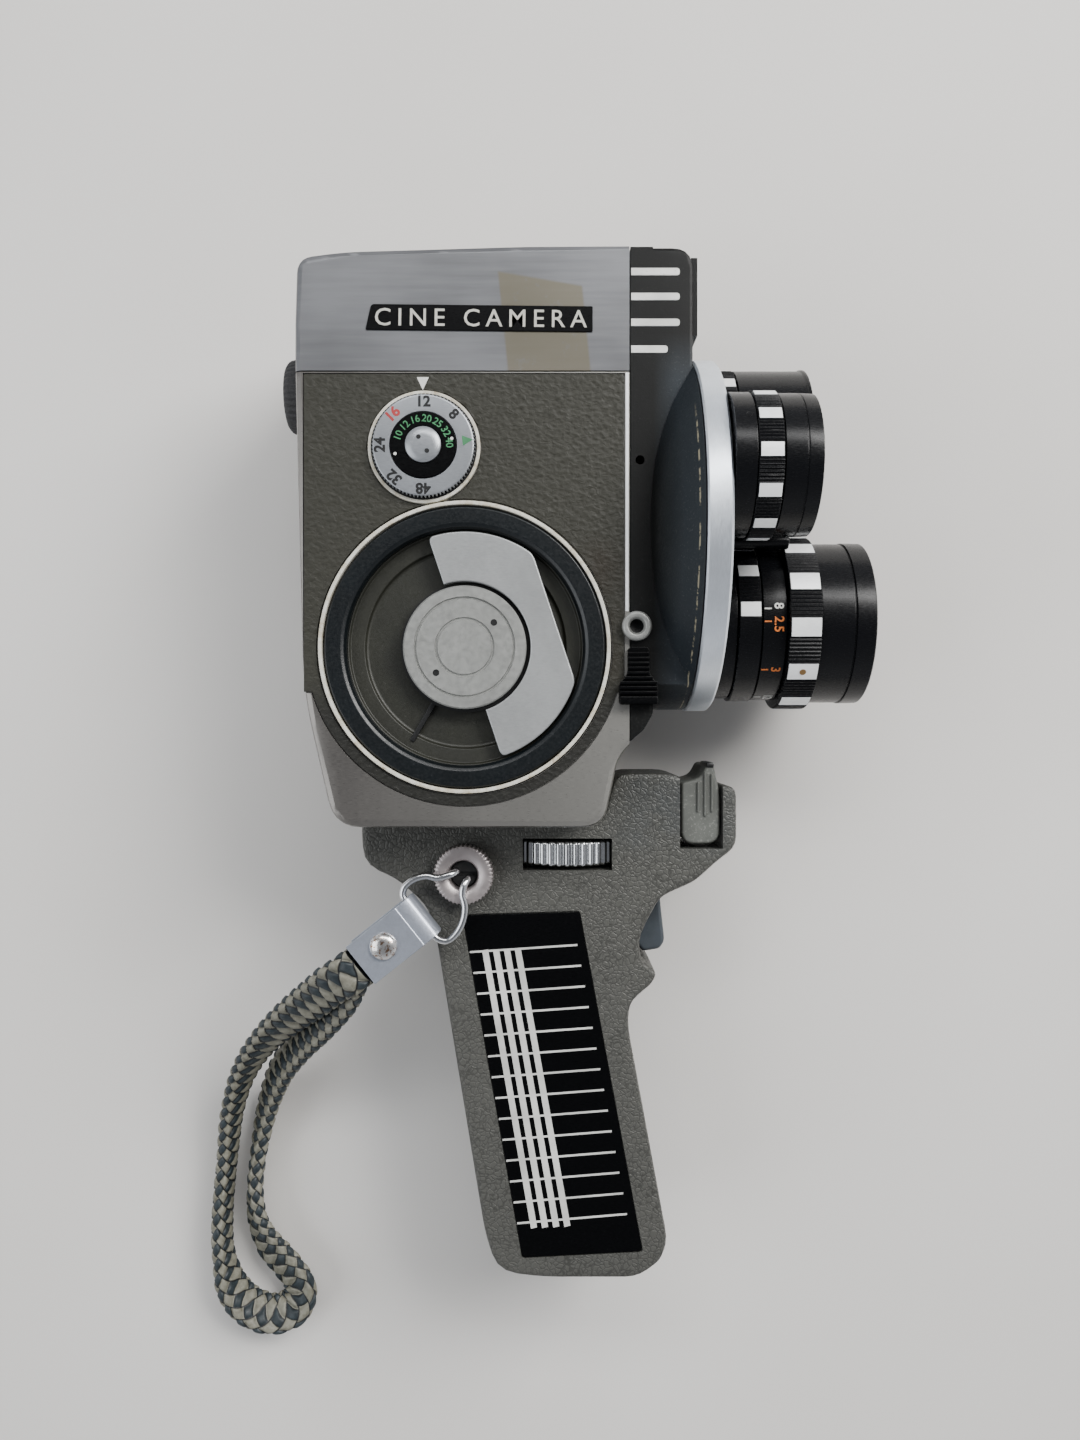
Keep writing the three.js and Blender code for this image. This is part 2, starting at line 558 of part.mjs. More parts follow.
function strapAndFittings() {
  piece(group(draft, ...STRAP_BOLT, 0), "strap_bolt", "chrome", ribbed(3.3, 6.9, 42.1, 46.2, 20, 0.4));
  piece(group(draft, ...STRAP_BOLT, 0), "strap_screw", "steel", cut(
    rod(3, 42.1, 43.5), block([-4, -0.45, 42.8], [4, 0.45, 50]),
  ));
  piece(draft, "split_ring", "chrome", wire([
    [-18.9, -35, 44.6], [-19.2, -34.8, 46.2], [-20.6, -35.3, 47.3], [-23.4, -36, 47.3], [-26, -35.6, 47.1],
    [-28.7, -36.3, 47], [-30.9, -38.1, 46.9], [-31.3, -40.2, 46.9], [-29.2, -42.8, 46.9],
    [-25.8, -47.1, 46.9], [-23.6, -49.8, 46.9], [-21.2, -50.4, 47], [-19, -48.6, 47.2], [-17.5, -45.6, 47.3],
    [-17.1, -42.4, 47.3], [-17.7, -39.6, 47.3], [-17.3, -37.6, 47.1], [-16.6, -36.5, 46.2],
    [-16.6, -36.3, 44.6],
  ], 0.8, 6, 44));
  const clasp = group(draft, -33.2, -49.55, 0);
  clasp.rotation.z = Math.atan2(-0.622, -0.783);
  const side = outline([[-9.3, -5.3, 1], [9.2, -5.3, 0.6], [9.2, 5.3, 0.6], [-9.3, 5.3, 1]]);
  const body = slab(side, 42.8, 51, 0.5, 2);
  const tunnel = rod(1.15, -20, 20, "y").translate(-7, 0, 46.9);
  const mouth = block([-12, -20, 46.3], [-7, 20, 47.5]);
  piece(clasp, "clasp", "steel", cut(body, tunnel, mouth));
  const rivet = turned([[0, 51.3], [3, 51.3], [2.6, 52], [1.4, 52.4], [0, 52.5]], "z", 16);
  piece(clasp, "clasp_rivet", "steel", rivet.translate(2.4, -0.2, 0));
  piece(draft, "wrist_strap", "webbing", wire(STRAP_ROUTE, 1.9, 8, 60));
}

bodyShells();
frontCasting();
windingUnit();
speedDial();
filmSide();
turretAndLenses();
releaseSlider();
grip();
strapAndFittings();

export default camera;
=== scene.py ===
"""Looks of a spring-wound turret cine camera on a pistol grip, lying on its film-door side.

Drafting coordinates are millimetres, as in the CAD source: at(x, y, z) turns them into row-frame metres.
"""

import math

import bmesh
import bpy
import numpy as np
from mathutils import Matrix, Vector


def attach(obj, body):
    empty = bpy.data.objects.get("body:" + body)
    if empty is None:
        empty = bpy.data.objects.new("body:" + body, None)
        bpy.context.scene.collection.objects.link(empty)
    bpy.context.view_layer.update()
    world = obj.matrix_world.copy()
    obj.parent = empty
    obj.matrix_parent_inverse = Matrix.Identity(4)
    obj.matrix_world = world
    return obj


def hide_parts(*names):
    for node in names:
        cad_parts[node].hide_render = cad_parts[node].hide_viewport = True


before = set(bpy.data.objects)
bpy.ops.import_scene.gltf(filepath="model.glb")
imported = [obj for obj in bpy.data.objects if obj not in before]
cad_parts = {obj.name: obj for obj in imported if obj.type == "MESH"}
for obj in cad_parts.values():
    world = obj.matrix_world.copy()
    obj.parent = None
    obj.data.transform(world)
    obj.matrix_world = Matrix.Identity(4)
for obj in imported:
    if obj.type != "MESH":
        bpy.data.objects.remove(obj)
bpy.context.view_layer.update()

# ---- Places, in drafting millimetres ----
SHIFT = (-8.7, 13.44)
MM = 0.001
WINDING = (-16.35, 15.8)
DIAL = (-25.1, 59.1)
TURRET_CENTRE = (48.1, 40)
LENS_SEATS = (41.4, 41.4, 39.1)
LENS_CIRCLE = 26.1
FIRST_LENS_ANGLE = 77.4
GRIP_MIDDLE = 30
KEY_OUTER = 25.1
KEY_INNER = 14.3
KEY_TILT = 108.5
KEY_CORNER = 1.7
KEY_FLAT = (-17, 53.7)
STRAP_BOLT = (-17.6, -35.6)
DIAL_TOP = 62.37
DIAL_RIM = 11
DIAL_TEETH = 84
CAMERA_HEIGHT = 305
# A radius or a length below this counts as none
ON_AXIS = 1e-9


# The strap is a flat plait that leaves the clasp, makes a loop and comes back under itself
STRAP_ROUTE = [
    (-40.9, -55.65, 48.9), (-43.6, -57.8, 48.5), (-47.4, -60.4, 45.6), (-53, -65.4, 39.5),
    (-59.6, -71.2, 32.5), (-66.2, -77.6, 25.5), (-72.6, -85.2, 18.5), (-77.6, -94, 12.5),
    (-80.9, -104, 8.4), (-82.4, -114, 6.4), (-83.4, -123, 6), (-84, -132, 6), (-83.7, -141, 6),
    (-81.6, -149.4, 6), (-76.8, -155, 6), (-70.2, -157, 6), (-64.6, -154.6, 6), (-63.4, -149.8, 6),
    (-66.7, -144.4, 6), (-71.2, -139, 6), (-74.4, -132.6, 6), (-75.3, -125.6, 6), (-74.9, -118, 6),
    (-73.6, -109.6, 6.6), (-71.2, -100.2, 8.6), (-66.9, -90.4, 13.6), (-60.4, -81.6, 21),
    (-52.6, -73, 30.2), (-46.6, -65.4, 38), (-43.6, -59.4, 43.2), (-41.4, -56.1, 44.8),
]
STRAP_WIDTH = 10.2
STRAP_THICK = 4.4
PLAIT_STRIPS = 5
PLAIT_PITCH = 3.9
PLAIT_RELIEF = 0.65
DARK_HALF = 0.37
FLOOR_CLEARANCE = 0.15
# [share of the length, degrees that the flat of the strap is turned on edge]
STRAP_TURNS = [(0, 6), (0.08, 16), (0.17, 50), (0.25, 74), (0.33, 86), (0.43, 86), (0.475, 54), (0.52, 28),
               (0.6, 28), (0.64, 60), (0.68, 82), (0.73, 66), (0.79, 52), (0.88, 42), (0.96, 36), (1, 24)]


def at(x, y, z):
    return Vector(((x + SHIFT[0]) * MM, (y + SHIFT[1]) * MM, z * MM))


def new_object(name, data):
    obj = bpy.data.objects.new(name, data)
    bpy.context.scene.collection.objects.link(obj)
    return obj


# ---- Camera ----
def make_camera():
    data = bpy.data.cameras.new("photo_camera")
    data.lens = 28.25
    data.sensor_width = 36
    data.clip_start = 0.01
    camera = new_object("photo_camera", data)
    camera.location = at(0, 0, CAMERA_HEIGHT)
    bpy.context.scene.camera = camera


make_camera()


# ---- Material tools ----
class Mat:
    """A Principled material with short calls for the nodes that vary it."""

    def __init__(self, name, color, rough, metal=0, **sockets):
        self.material = bpy.data.materials.new(name)
        self.material.use_nodes = True
        self.nodes = self.material.node_tree.nodes
        self.links = self.material.node_tree.links
        self.shader = self.nodes["Principled BSDF"]
        coords = self.node("ShaderNodeTexCoord")
        self.place = coords.outputs["Object"]
        self.uv = coords.outputs["UV"]
        self.height = None
        self.shader.inputs["Base Color"].default_value = (*color, 1)
        self.shader.inputs["Roughness"].default_value = rough
        self.shader.inputs["Metallic"].default_value = metal
        for socket, value in sockets.items():
            self.shader.inputs[socket.replace("_", " ")].default_value = value

    def node(self, kind, inputs=None, **settings):
        made = self.nodes.new(kind)
        for key, value in settings.items():
            setattr(made, key, value)
        for key, value in (inputs or {}).items():
            self.feed(made.inputs[key], value)
        return made

    def feed(self, socket, value):
        if isinstance(value, bpy.types.NodeSocket):
            self.links.new(value, socket)
        elif socket.type == "RGBA":
            socket.default_value = (*value, 1)
        else:
            socket.default_value = value

    def stretch(self, scale, spin=0):
        inputs = {"Scale": scale, "Rotation": (0, 0, spin), "Vector": self.place}
        return self.node("ShaderNodeMapping", inputs).outputs["Vector"]

    def noise(self, size_mm, detail=3, rough=0.55, vector=None, warp=0, output="Fac"):
        inputs = {"Scale": 1 / (size_mm * MM), "Detail": detail, "Roughness": rough, "Distortion": warp,
                  "Vector": vector or self.place}
        return self.node("ShaderNodeTexNoise", inputs).outputs[output]

    def cells(self, size_mm, feature="F1", vector=None):
        inputs = {"Scale": 1 / (size_mm * MM), "Vector": vector or self.place}
        return self.node("ShaderNodeTexVoronoi", inputs, feature=feature).outputs["Distance"]

    def math(self, operation, first, second=0):
        return self.node("ShaderNodeMath", {0: first, 1: second}, operation=operation).outputs[0]

    def times(self, first, second):
        return self.math("MULTIPLY", first, second)

    def plus(self, first, second):
        return self.math("ADD", first, second)

    def steps(self, value, low, high):
        """0 to 1 as the value goes from low to high."""
        inputs = {"Value": value, "From Min": low, "From Max": high}
        return self.node("ShaderNodeMapRange", inputs, clamp=True).outputs["Result"]

    def ramp(self, value, *stops):
        made = self.node("ShaderNodeValToRGB", {"Fac": value})
        elements = made.color_ramp.elements
        while len(elements) < len(stops):
            elements.new(0.5)
        for element, (position, color) in zip(elements, stops):
            element.position = position
            element.color = (*color, 1)
        return made.outputs["Color"]

    def mix(self, amount, first, second):
        inputs = {"Factor": amount, 6: first, 7: second}
        return self.node("ShaderNodeMix", inputs, data_type="RGBA").outputs[2]

    def color(self, value):
        self.feed(self.shader.inputs["Base Color"], value)

    def base(self):
        """What the base colour is linked to so far."""
        return self.shader.inputs["Base Color"].links[0].from_socket

    def rough(self, value, low, high):
        inputs = {"Value": value, "From Min": 0.3, "From Max": 0.7, "To Min": low, "To Max": high}
        self.feed(self.shader.inputs["Roughness"], self.node("ShaderNodeMapRange", inputs).outputs["Result"])

    def bump(self, value, depth_mm):
        made = self.node("ShaderNodeBump", {"Distance": depth_mm * MM, "Strength": 1, "Height": value})
        if self.height:
            self.feed(made.inputs["Normal"], self.height)
        self.height = made.outputs["Normal"]
        self.feed(self.shader.inputs["Normal"], self.height)

    def axis(self, index, vector=None):
        return self.node("ShaderNodeSeparateXYZ", {0: vector or self.place}).outputs[index]

    def fade(self, index, start, end):
        """0 to 1 between two drafting positions on the X or Y axis."""
        return self.steps(self.axis(index), (start + SHIFT[index]) * MM, (end + SHIFT[index]) * MM)

    def box_mask(self, low, high, soft_mm):
        """1 inside a drafting-millimetre box in X and Y, falling to 0 over soft_mm."""
        mask = 1
        for k in (0, 1):
            mask = self.times(self.times(mask, self.fade(k, low[k], low[k] + soft_mm)),
                              self.fade(k, high[k], high[k] - soft_mm))
        return mask


def brushed(name, color, rough, grain=(1, 14, 1), metal=0.9, depth=0.004):
    m = Mat(name, color, rough, metal)
    streak = m.noise(1.2, 4, 0.6, m.stretch(grain))
    blotch = m.noise(14, 4, 0.6)
    dark = tuple(c * 0.86 for c in color)
    light = tuple(min(1, c * 1.06) for c in color)
    m.color(m.ramp(m.plus(m.times(streak, 0.35), m.times(blotch, 0.65)), (0.35, dark), (0.62, light)))
    m.rough(streak, rough - 0.06, rough + 0.07)
    m.bump(streak, depth)
    return m


def speckled(name, color, rough, fleck, amount=0.72, metal=0.1):
    """Satin paint with fine light flecks where it has worn."""
    m = Mat(name, color, rough, metal)
    fine = m.noise(0.6, 3, 0.7)
    broad = m.noise(9, 4, 0.6)
    worn = m.steps(m.plus(m.times(fine, 0.75), m.times(broad, 0.25)), amount - 0.08, amount)
    base = m.ramp(broad, (0.35, tuple(c * 0.8 for c in color)), (0.65, tuple(c * 1.15 for c in color)))
    m.color(m.mix(worn, base, fleck))
    m.rough(fine, rough - 0.06, rough + 0.08)
    m.bump(m.noise(0.35, 2, 0.6), 0.02)
    return m


# ---- Materials ----
def cover_silver():
    m = Mat("cover_silver", (0.2, 0.2, 0.2), 0.4, 0.6)
    streak = m.noise(1.4, 3, 0.6, m.stretch((0.06, 1, 1)))
    blotch = m.noise(26, 3, 0.5)
    tone = m.ramp(m.plus(m.times(streak, 0.4), m.times(blotch, 0.6)),
                  (0.36, (0.118, 0.12, 0.126)), (0.64, (0.168, 0.172, 0.181)))
    # Residue of old tape: a slanted yellowed patch, open at its lower end, between two corners
    edge = m.noise(5, 4, 0.7)
    lean, slope = 0.1, 0.17
    along = m.plus(m.axis(0), m.times(m.axis(1), lean))
    across = m.plus(m.axis(1), m.times(m.axis(0), slope))
    corner, end = at(-9.4, 97.6, 0), at(11.4, 74, 0)
    left, right = corner.x + lean * corner.y, end.x + lean * end.y
    top = corner.y + slope * corner.x
    patch = m.times(m.steps(along, left, left + 0.5 * MM), m.steps(along, right, right - 0.5 * MM))
    patch = m.times(patch, m.steps(across, top, top - 0.6 * MM))
    stain = m.times(patch, m.steps(edge, 0.2, 0.42))
    m.color(m.mix(m.times(stain, 0.8), tone, (0.128, 0.114, 0.078)))
    m.rough(blotch, 0.34, 0.46)
    m.bump(streak, 0.003)
    return m


def body_metal():
    """Warm die-cast metal with a broad painted sheen: its colour brightens towards the lens side, where the metal
    catches more light.
    """
    m = brushed("body_silver", (0.185, 0.175, 0.163), 0.32, (1, 8, 1), 0.8)
    base = m.base()
    # Painted sheen: lighter towards the lens side, standing in for the light on the metal there
    painted_sheen = m.plus(m.fade(0, -50, 20), m.times(m.noise(22, 2, 0.4), 0.35))
    m.color(m.mix(m.steps(painted_sheen, 0.3, 1.1), base, (0.36, 0.352, 0.325)))
    return m


def leatherette():
    m = Mat("leatherette", (0.03, 0.03, 0.022), 0.6, Specular_IOR_Level=0.35)
    wrinkle = m.noise(1.1, 3, 0.5, m.stretch((0.75, 1, 1), spin=0.4), 0.8)
    grain = m.cells(0.9, "SMOOTH_F1", m.stretch((0.8, 1, 1), spin=0.4))
    hill = m.plus(m.times(wrinkle, 0.6), m.times(grain, 0.5))
    worn = m.noise(15, 4, 0.6)
    tone = m.ramp(hill, (0.34, (0.019, 0.0185, 0.0125)), (0.55, (0.0235, 0.023, 0.0165)),
                  (0.78, (0.028, 0.0275, 0.021)))
    # Brown grime near the winding unit's lower right, where a hand rests
    grime = m.times(m.box_mask((6, 4), (20, 42), 7), m.steps(worn, 0.35, 0.6))
    tone = m.mix(m.times(grime, 0.6), tone, (0.018, 0.012, 0.006))
    # Painted shade: the crescent below the winding unit, where the leatherette's lower edge curves away, is much
    # darker than the panel above
    aside = [m.math("SUBTRACT", m.axis(k), at(*WINDING, 0)[k]) for k in (0, 1)]
    away = m.math("SQRT", m.plus(m.times(aside[0], aside[0]), m.times(aside[1], aside[1])))
    crescent_shade = m.times(m.steps(away, 36.2 * MM, 35.2 * MM), m.fade(1, 9, 1))
    m.color(m.mix(m.times(crescent_shade, 0.75), tone, (0.006, 0.006, 0.005)))
    m.rough(hill, 0.66, 0.46)
    m.bump(hill, 0.3)
    return m


def hammertone():
    m = Mat("hammertone", (0.06, 0.06, 0.052), 0.48, 0.3, Specular_IOR_Level=0.4)
    # Wrinkle finish: smooth islands with thin, irregular cracks between them
    grit = m.noise(0.8, 3, 0.6)
    swirl = m.noise(1000 / 420, 2, 0.5, output="Color")
    drift = m.node("ShaderNodeVectorMath", {0: swirl, "Scale": 2 * MM}, operation="SCALE").outputs[0]
    bent = m.node("ShaderNodeVectorMath", {0: m.place, 1: drift}, operation="ADD").outputs[0]
    island = m.steps(m.cells(1.15, "DISTANCE_TO_EDGE", bent), 0, 0.2)
    broad = m.noise(11, 4, 0.6)
    crease = m.plus(island, m.times(broad, 0.9))
    tone = m.ramp(crease, (0.45, (0.05, 0.05, 0.045)), (0.8, (0.064, 0.064, 0.058)),
                  (1.6, (0.082, 0.082, 0.074)))
    # Hands have polished the hump under the camera, which shows a bluer, smoother coat
    hump = m.times(m.box_mask((14, -34), (48, -8), 9), m.steps(broad, 0.3, 0.6))
    m.color(m.mix(m.times(hump, 0.6), tone, (0.045, 0.052, 0.056)))
    m.rough(grit, 0.4, 0.6)
    m.bump(grit, 0.06)
    m.bump(island, 0.075)
    return m


def charcoal():
    """Olive charcoal on the side strip and hood, bluer and more worn on the round nose, where the blue coat fades
    in across the flare as painted shading of its curved surface.
    """
    m = speckled("charcoal", (0.003, 0.0033, 0.0031), 0.45, (0.013, 0.0135, 0.013), 0.67)
    m.shader.inputs["Specular IOR Level"].default_value = 0.22
    base = m.base()
    # Painted shading: the bluer flecked coat fades in from X 24.6 to 29.5 mm, dark where the flare leaves the body
    # and lighter towards the ring, as the curved flare catches the light
    nose = m.times(m.fade(0, 24.6, 29.5), m.fade(1, 84, 74))
    fleck = m.steps(m.noise(0.55, 3, 0.75), 0.6, 0.7)
    blue = m.mix(fleck, (0.021, 0.026, 0.031), (0.06, 0.066, 0.07))
    shell = m.mix(nose, base, blue)
    # The paint has worn to a thin cream line where the nose meets the turret ring
    band = m.times(m.fade(0, 32, 32.08), m.fade(0, 32.32, 32.26))
    low_half = m.fade(1, 66, 60)
    rim = m.times(m.times(band, low_half), m.steps(m.noise(4, 4, 0.75), 0.47, 0.53))
    m.color(m.mix(rim, shell, (0.3, 0.27, 0.19)))
    return m


def gloss_black(name="gloss_black", color=(0.005, 0.0055, 0.0065), rough=0.24, shine=0.3):
    m = Mat(name, color, rough, 0, Specular_IOR_Level=shine)
    scratch = m.noise(0.9, 3, 0.65, m.stretch((1, 9, 1), spin=0.5))
    dust = m.noise(0.5, 2, 0.7)
    m.color(m.ramp(m.times(dust, scratch), (0.3, color), (0.5, tuple(c * 1.6 + 0.002 for c in color))))
    m.rough(scratch, rough - 0.06, rough + 0.12)
    m.bump(scratch, 0.003)
    return m


def aged_cream():
    m = Mat("aged_cream", (0.6, 0.58, 0.48), 0.5)
    dirt = m.noise(3.2, 4, 0.7)
    fine = m.noise(0.5, 3, 0.7)
    tone = m.ramp(dirt, (0.28, (0.24, 0.17, 0.1)), (0.4, (0.5, 0.46, 0.36)), (0.6, (0.66, 0.65, 0.58)))
    m.color(m.mix(m.steps(fine, 0.62, 0.75), tone, (0.34, 0.3, 0.22)))
    m.rough(fine, 0.42, 0.62)
    m.bump(fine, 0.02)
    return m


def steel_with_rust():
    m = brushed("steel_with_rust", (0.8, 0.79, 0.77), 0.2, (1, 1, 1), 0.95)
    spot = m.steps(m.noise(0.9, 4, 0.75), 0.52, 0.6)
    base = m.base()
    m.color(m.mix(spot, base, (0.34, 0.21, 0.13)))
    return m


def rubber():
    m = Mat("ribbed_rubber", (0.02, 0.02, 0.021), 0.7)
    fine = m.noise(0.4, 3, 0.6)
    m.color(m.ramp(fine, (0.35, (0.012, 0.012, 0.013)), (0.65, (0.045, 0.044, 0.046))))
    m.rough(fine, 0.6, 0.82)
    m.bump(fine, 0.03)
    return m


def braid():
    """Two-colour plait: U is millimetres along the strap and V turns round it."""
    m = Mat("braid", (0.3, 0.3, 0.26), 0.55)
    along = m.math("DIVIDE", m.axis(0, m.uv), PLAIT_PITCH)
    turns = m.times(m.axis(1, m.uv), PLAIT_STRIPS)
    first = m.plus(turns, along)
    second = m.math("SUBTRACT", turns, along)
    crossing = m.plus(m.math("FLOOR", first), m.math("FLOOR", second))
    dark_over = m.math("ABSOLUTE", m.math("MODULO", crossing, 2))
    first_off = m.math("ABSOLUTE", m.math("SUBTRACT", m.math("FRACT", first), 0.5))
    second_off = m.math("ABSOLUTE", m.math("SUBTRACT", m.math("FRACT", second), 0.5))
    # A dark strip is narrower than a pale one, which shows on both sides of it before diving under
    dark_strip = m.times(dark_over, m.math("LESS_THAN", second_off, DARK_HALF))
    beside = m.math("ABSOLUTE", m.math("SUBTRACT", second_off, DARK_HALF))
    dark_edge_shade = m.times(dark_over, m.steps(beside, 0.05, 0.02))
    grime = m.noise(1.6, 4, 0.65)
    fine = m.noise(0.25, 3, 0.7)
    pale = m.ramp(grime, (0.3, (0.12, 0.115, 0.085)), (0.6, (0.2, 0.195, 0.155)), (0.8, (0.25, 0.245, 0.2)))
    dark = m.ramp(grime, (0.3, (0.006, 0.011, 0.014)), (0.7, (0.02, 0.031, 0.037)))
    strip = m.mix(dark_strip, pale, dark)
    # Painted shade: near-black lines in the crevices between strands and along the dark strips' edges
    crevice_shade = m.math("MAXIMUM", m.steps(first_off, 0.41, 0.47), dark_edge_shade)
    m.color(m.mix(crevice_shade, strip, (0.002, 0.003, 0.004)))
    m.rough(fine, 0.42, 0.65)
    m.bump(fine, 0.02)
    return m


def coated_glass():
    m = Mat("coated_glass", (0.016, 0.014, 0.035), 0.05, 0)
    # Painted reflection: the coating's purple-blue brightens towards the rim, where the glass is seen at a
    # glancing angle
    facing = m.node("ShaderNodeLayerWeight")
    facing.inputs["Blend"].default_value = 0.35
    m.color(m.ramp(facing.outputs["Facing"], (0, (0.02, 0.012, 0.06)), (0.6, (0.035, 0.03, 0.12))))
    m.shader.inputs["Coat Weight"].default_value = 0.7
    m.bump(m.noise(9, 2, 0.5), 0.004)
    return m


def honeycomb_glass():
    m = Mat("honeycomb_glass", (0.12, 0.13, 0.13), 0.12)
    cell = m.cells(1.9, "DISTANCE_TO_EDGE")
    m.color(m.ramp(cell, (0.02, (0.02, 0.02, 0.02)), (0.14, (0.2, 0.21, 0.2))))
    m.bump(m.cells(1.9), 0.6)
    return m


# [recipe, its values]
RECIPES = {
    "satin_silver": (brushed, (0.31, 0.325, 0.345), 0.34, (1, 5, 1), 0.6, 0.002),
    "ring_silver": (brushed, (0.76, 0.81, 0.87), 0.34, (9, 1, 1), 0.8, 0.0008),
    "chrome": (brushed, (0.66, 0.67, 0.68), 0.2, (3, 3, 1), 1, 0.002),
    "steel": (brushed, (0.42, 0.42, 0.41), 0.32),
    "washer": (brushed, (0.42, 0.38, 0.375), 0.42, (1, 1, 1), 0.75),
    "clasp_steel": (brushed, (0.39, 0.42, 0.48), 0.34, (3, 3, 1), 0.65, 0.001),
    "brass": (brushed, (0.6, 0.42, 0.17), 0.35),
    "blue_black": (speckled, (0.0018, 0.0036, 0.0048), 0.34, (0.012, 0.016, 0.018), 0.72),
    "olive": (speckled, (0.0155, 0.016, 0.0108), 0.45, (0.04, 0.04, 0.03), 0.7),
    "lens_black": (gloss_black, (0.003, 0.0032, 0.004), 0.22, 0.22),
    "matt_black": (speckled, (0.012, 0.012, 0.012), 0.6, (0.05, 0.05, 0.05), 0.74),
    "white_paint": (speckled, (0.62, 0.62, 0.59), 0.45, (0.4, 0.39, 0.36), 0.7),
    "black_paint": (speckled, (0.004, 0.0042, 0.0045), 0.45, (0.016, 0.016, 0.016), 0.72),
    "red_paint": (speckled, (0.33, 0.03, 0.03), 0.45, (0.2, 0.03, 0.03), 0.7),
    "orange_paint": (speckled, (0.65, 0.17, 0.03), 0.45, (0.5, 0.12, 0.02), 0.7),
    "amber_paint": (speckled, (0.2, 0.11, 0.03), 0.45, (0.12, 0.06, 0.02), 0.7),
    "green_paint": (speckled, (0.05, 0.22, 0.09), 0.45, (0.03, 0.13, 0.05), 0.7),
    "blue_plastic": (speckled, (0.042, 0.051, 0.06), 0.42, (0.07, 0.08, 0.09), 0.72),
    "hub_silver": (brushed, (0.32, 0.325, 0.31), 0.4, (1, 1, 1), 0.55, 0.002),
    "key_silver": (brushed, (0.36, 0.37, 0.37), 0.38, (1, 7, 1), 0.5, 0.002),
    "panel_black": (gloss_black, (0.001, 0.0011, 0.0014), 0.3, 0.12),
    "block_silver": (brushed, (0.93, 0.95, 0.95), 0.4, (1, 4, 1), 0.25, 0.001),
    "pusher_paint": (speckled, (0.1, 0.105, 0.095), 0.6, (0.17, 0.175, 0.16), 0.62),
    "strap_dark": (speckled, (0.012, 0.019, 0.022), 0.6, (0.03, 0.042, 0.048), 0.66),
    "letter_silver": (brushed, (0.5, 0.49, 0.44), 0.45, (1, 1, 1), 0.3, 0.001),
}
MATERIALS = {name: recipe(name, *values) for name, (recipe, *values) in RECIPES.items()}
MATERIALS.update({
    "cover_silver": cover_silver(),
    "body_silver": body_metal(),
    "rusted": steel_with_rust(),
    "leatherette": leatherette(),
    "charcoal": charcoal(),
    "cream": aged_cream(),
    "hammertone": hammertone(),
    "gloss_black": gloss_black(),
    "rubber": rubber(),
    "braid": braid(),
    "glass": coated_glass(),
    "honeycomb": honeycomb_glass(),
})


def paint(obj, material):
    obj.data.materials.clear()
    obj.data.materials.append(MATERIALS[material].material)


# ---- Mesh tools: everything is drafted in millimetres ----
def add_piece(name, bm, material, body, replaces=(), smooth=40, move=(0, 0, 0)):
    """Turns a drafting-millimetre bmesh into a piece that rides on a CAD body."""
    bmesh.ops.remove_doubles(bm, verts=bm.verts, dist=1e-4)
    bmesh.ops.recalc_face_normals(bm, faces=bm.faces)
    for vert in bm.verts:
        vert.co = at(*(vert.co + Vector(move)))
    mesh = bpy.data.meshes.new(name)
    bm.to_mesh(mesh)
    bm.free()
    obj = new_object(name, mesh)
    paint(obj, material)
    shade(obj, smooth)
    obj.modifiers.new("even_shading", "WEIGHTED_NORMAL").keep_sharp = True
    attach(obj, body)
    if replaces:
        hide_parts(*replaces)
    return obj


def shade(obj, angle):
    """Smooth shading that keeps edges sharper than angle degrees."""
    mesh = obj.data
    mesh.polygons.foreach_set("use_smooth", [True] * len(mesh.polygons))
    mesh.set_sharp_from_angle(angle=math.radians(angle))


def turn(profile, axis, segments=128, wave=None):
    """A [radius, height] outline turned about X or Z; wave(radius, height, angle) gives a new radius."""
    bm = bmesh.new()
    rings = []
    for i in range(segments):
        angle = 2 * math.pi * i / segments
        row = []
        for radius, height in profile:
            r = wave(radius, height, angle) if wave else radius
            if axis == "x":
                row.append(bm.verts.new((height, r * math.cos(angle), r * math.sin(angle))))
            else:
                row.append(bm.verts.new((r * math.cos(angle), r * math.sin(angle), height)))
        rings.append(row)
    count = len(profile)
    for i in range(segments):
        one, two = rings[i], rings[(i + 1) % segments]
        for k in range(count):
            n = (k + 1) % count
            if max(profile[k][0], profile[n][0]) > ON_AXIS:
                bm.faces.new((one[k], one[n], two[n], two[k]))
    # Points on the axis meet, which turns the faces round them into triangles
    bmesh.ops.remove_doubles(bm, verts=bm.verts, dist=1e-5)
    return bm


def softened(profile, size=0.25):
    """The closed outline with each corner off the axis cut to a small two-step round."""
    out = []
    count = len(profile)
    for i, (r, h) in enumerate(profile):
        if r < ON_AXIS:
            out.append((r, h))
            continue
        here = Vector((r, h))
        before = Vector(profile[i - 1]) - here
        after = Vector(profile[(i + 1) % count]) - here
        if min(before.length, after.length) < ON_AXIS:
            continue
        a = here + before.normalized() * min(size, 0.4 * before.length)
        b = here + after.normalized() * min(size, 0.4 * after.length)
        middle = (a + b) / 4 + here / 2
        out += [tuple(a), tuple(middle), tuple(b)]
    return out


def rounded_outline(corners, steps=6):
    """[x, y, trim] corners to a closed list of points, each trimmed corner drawn as a quadratic curve."""
    points = []
    count = len(corners)
    for i, corner in enumerate(corners):
        here = Vector(corner[:2])
        trim = corner[2] if len(corner) > 2 else 0
        if trim <= 0:
            points.append(here)
            continue
        ends = []
        for other in (corners[i - 1], corners[(i + 1) % count]):
            edge = Vector(other[:2]) - here
            ends.append(here + edge.normalized() * min(trim, 0.45 * edge.length))
        for k in range(steps + 1):
            t = k / steps
            points.append(ends[0] * (1 - t) ** 2 + here * 2 * t * (1 - t) + ends[1] * t * t)
    return points


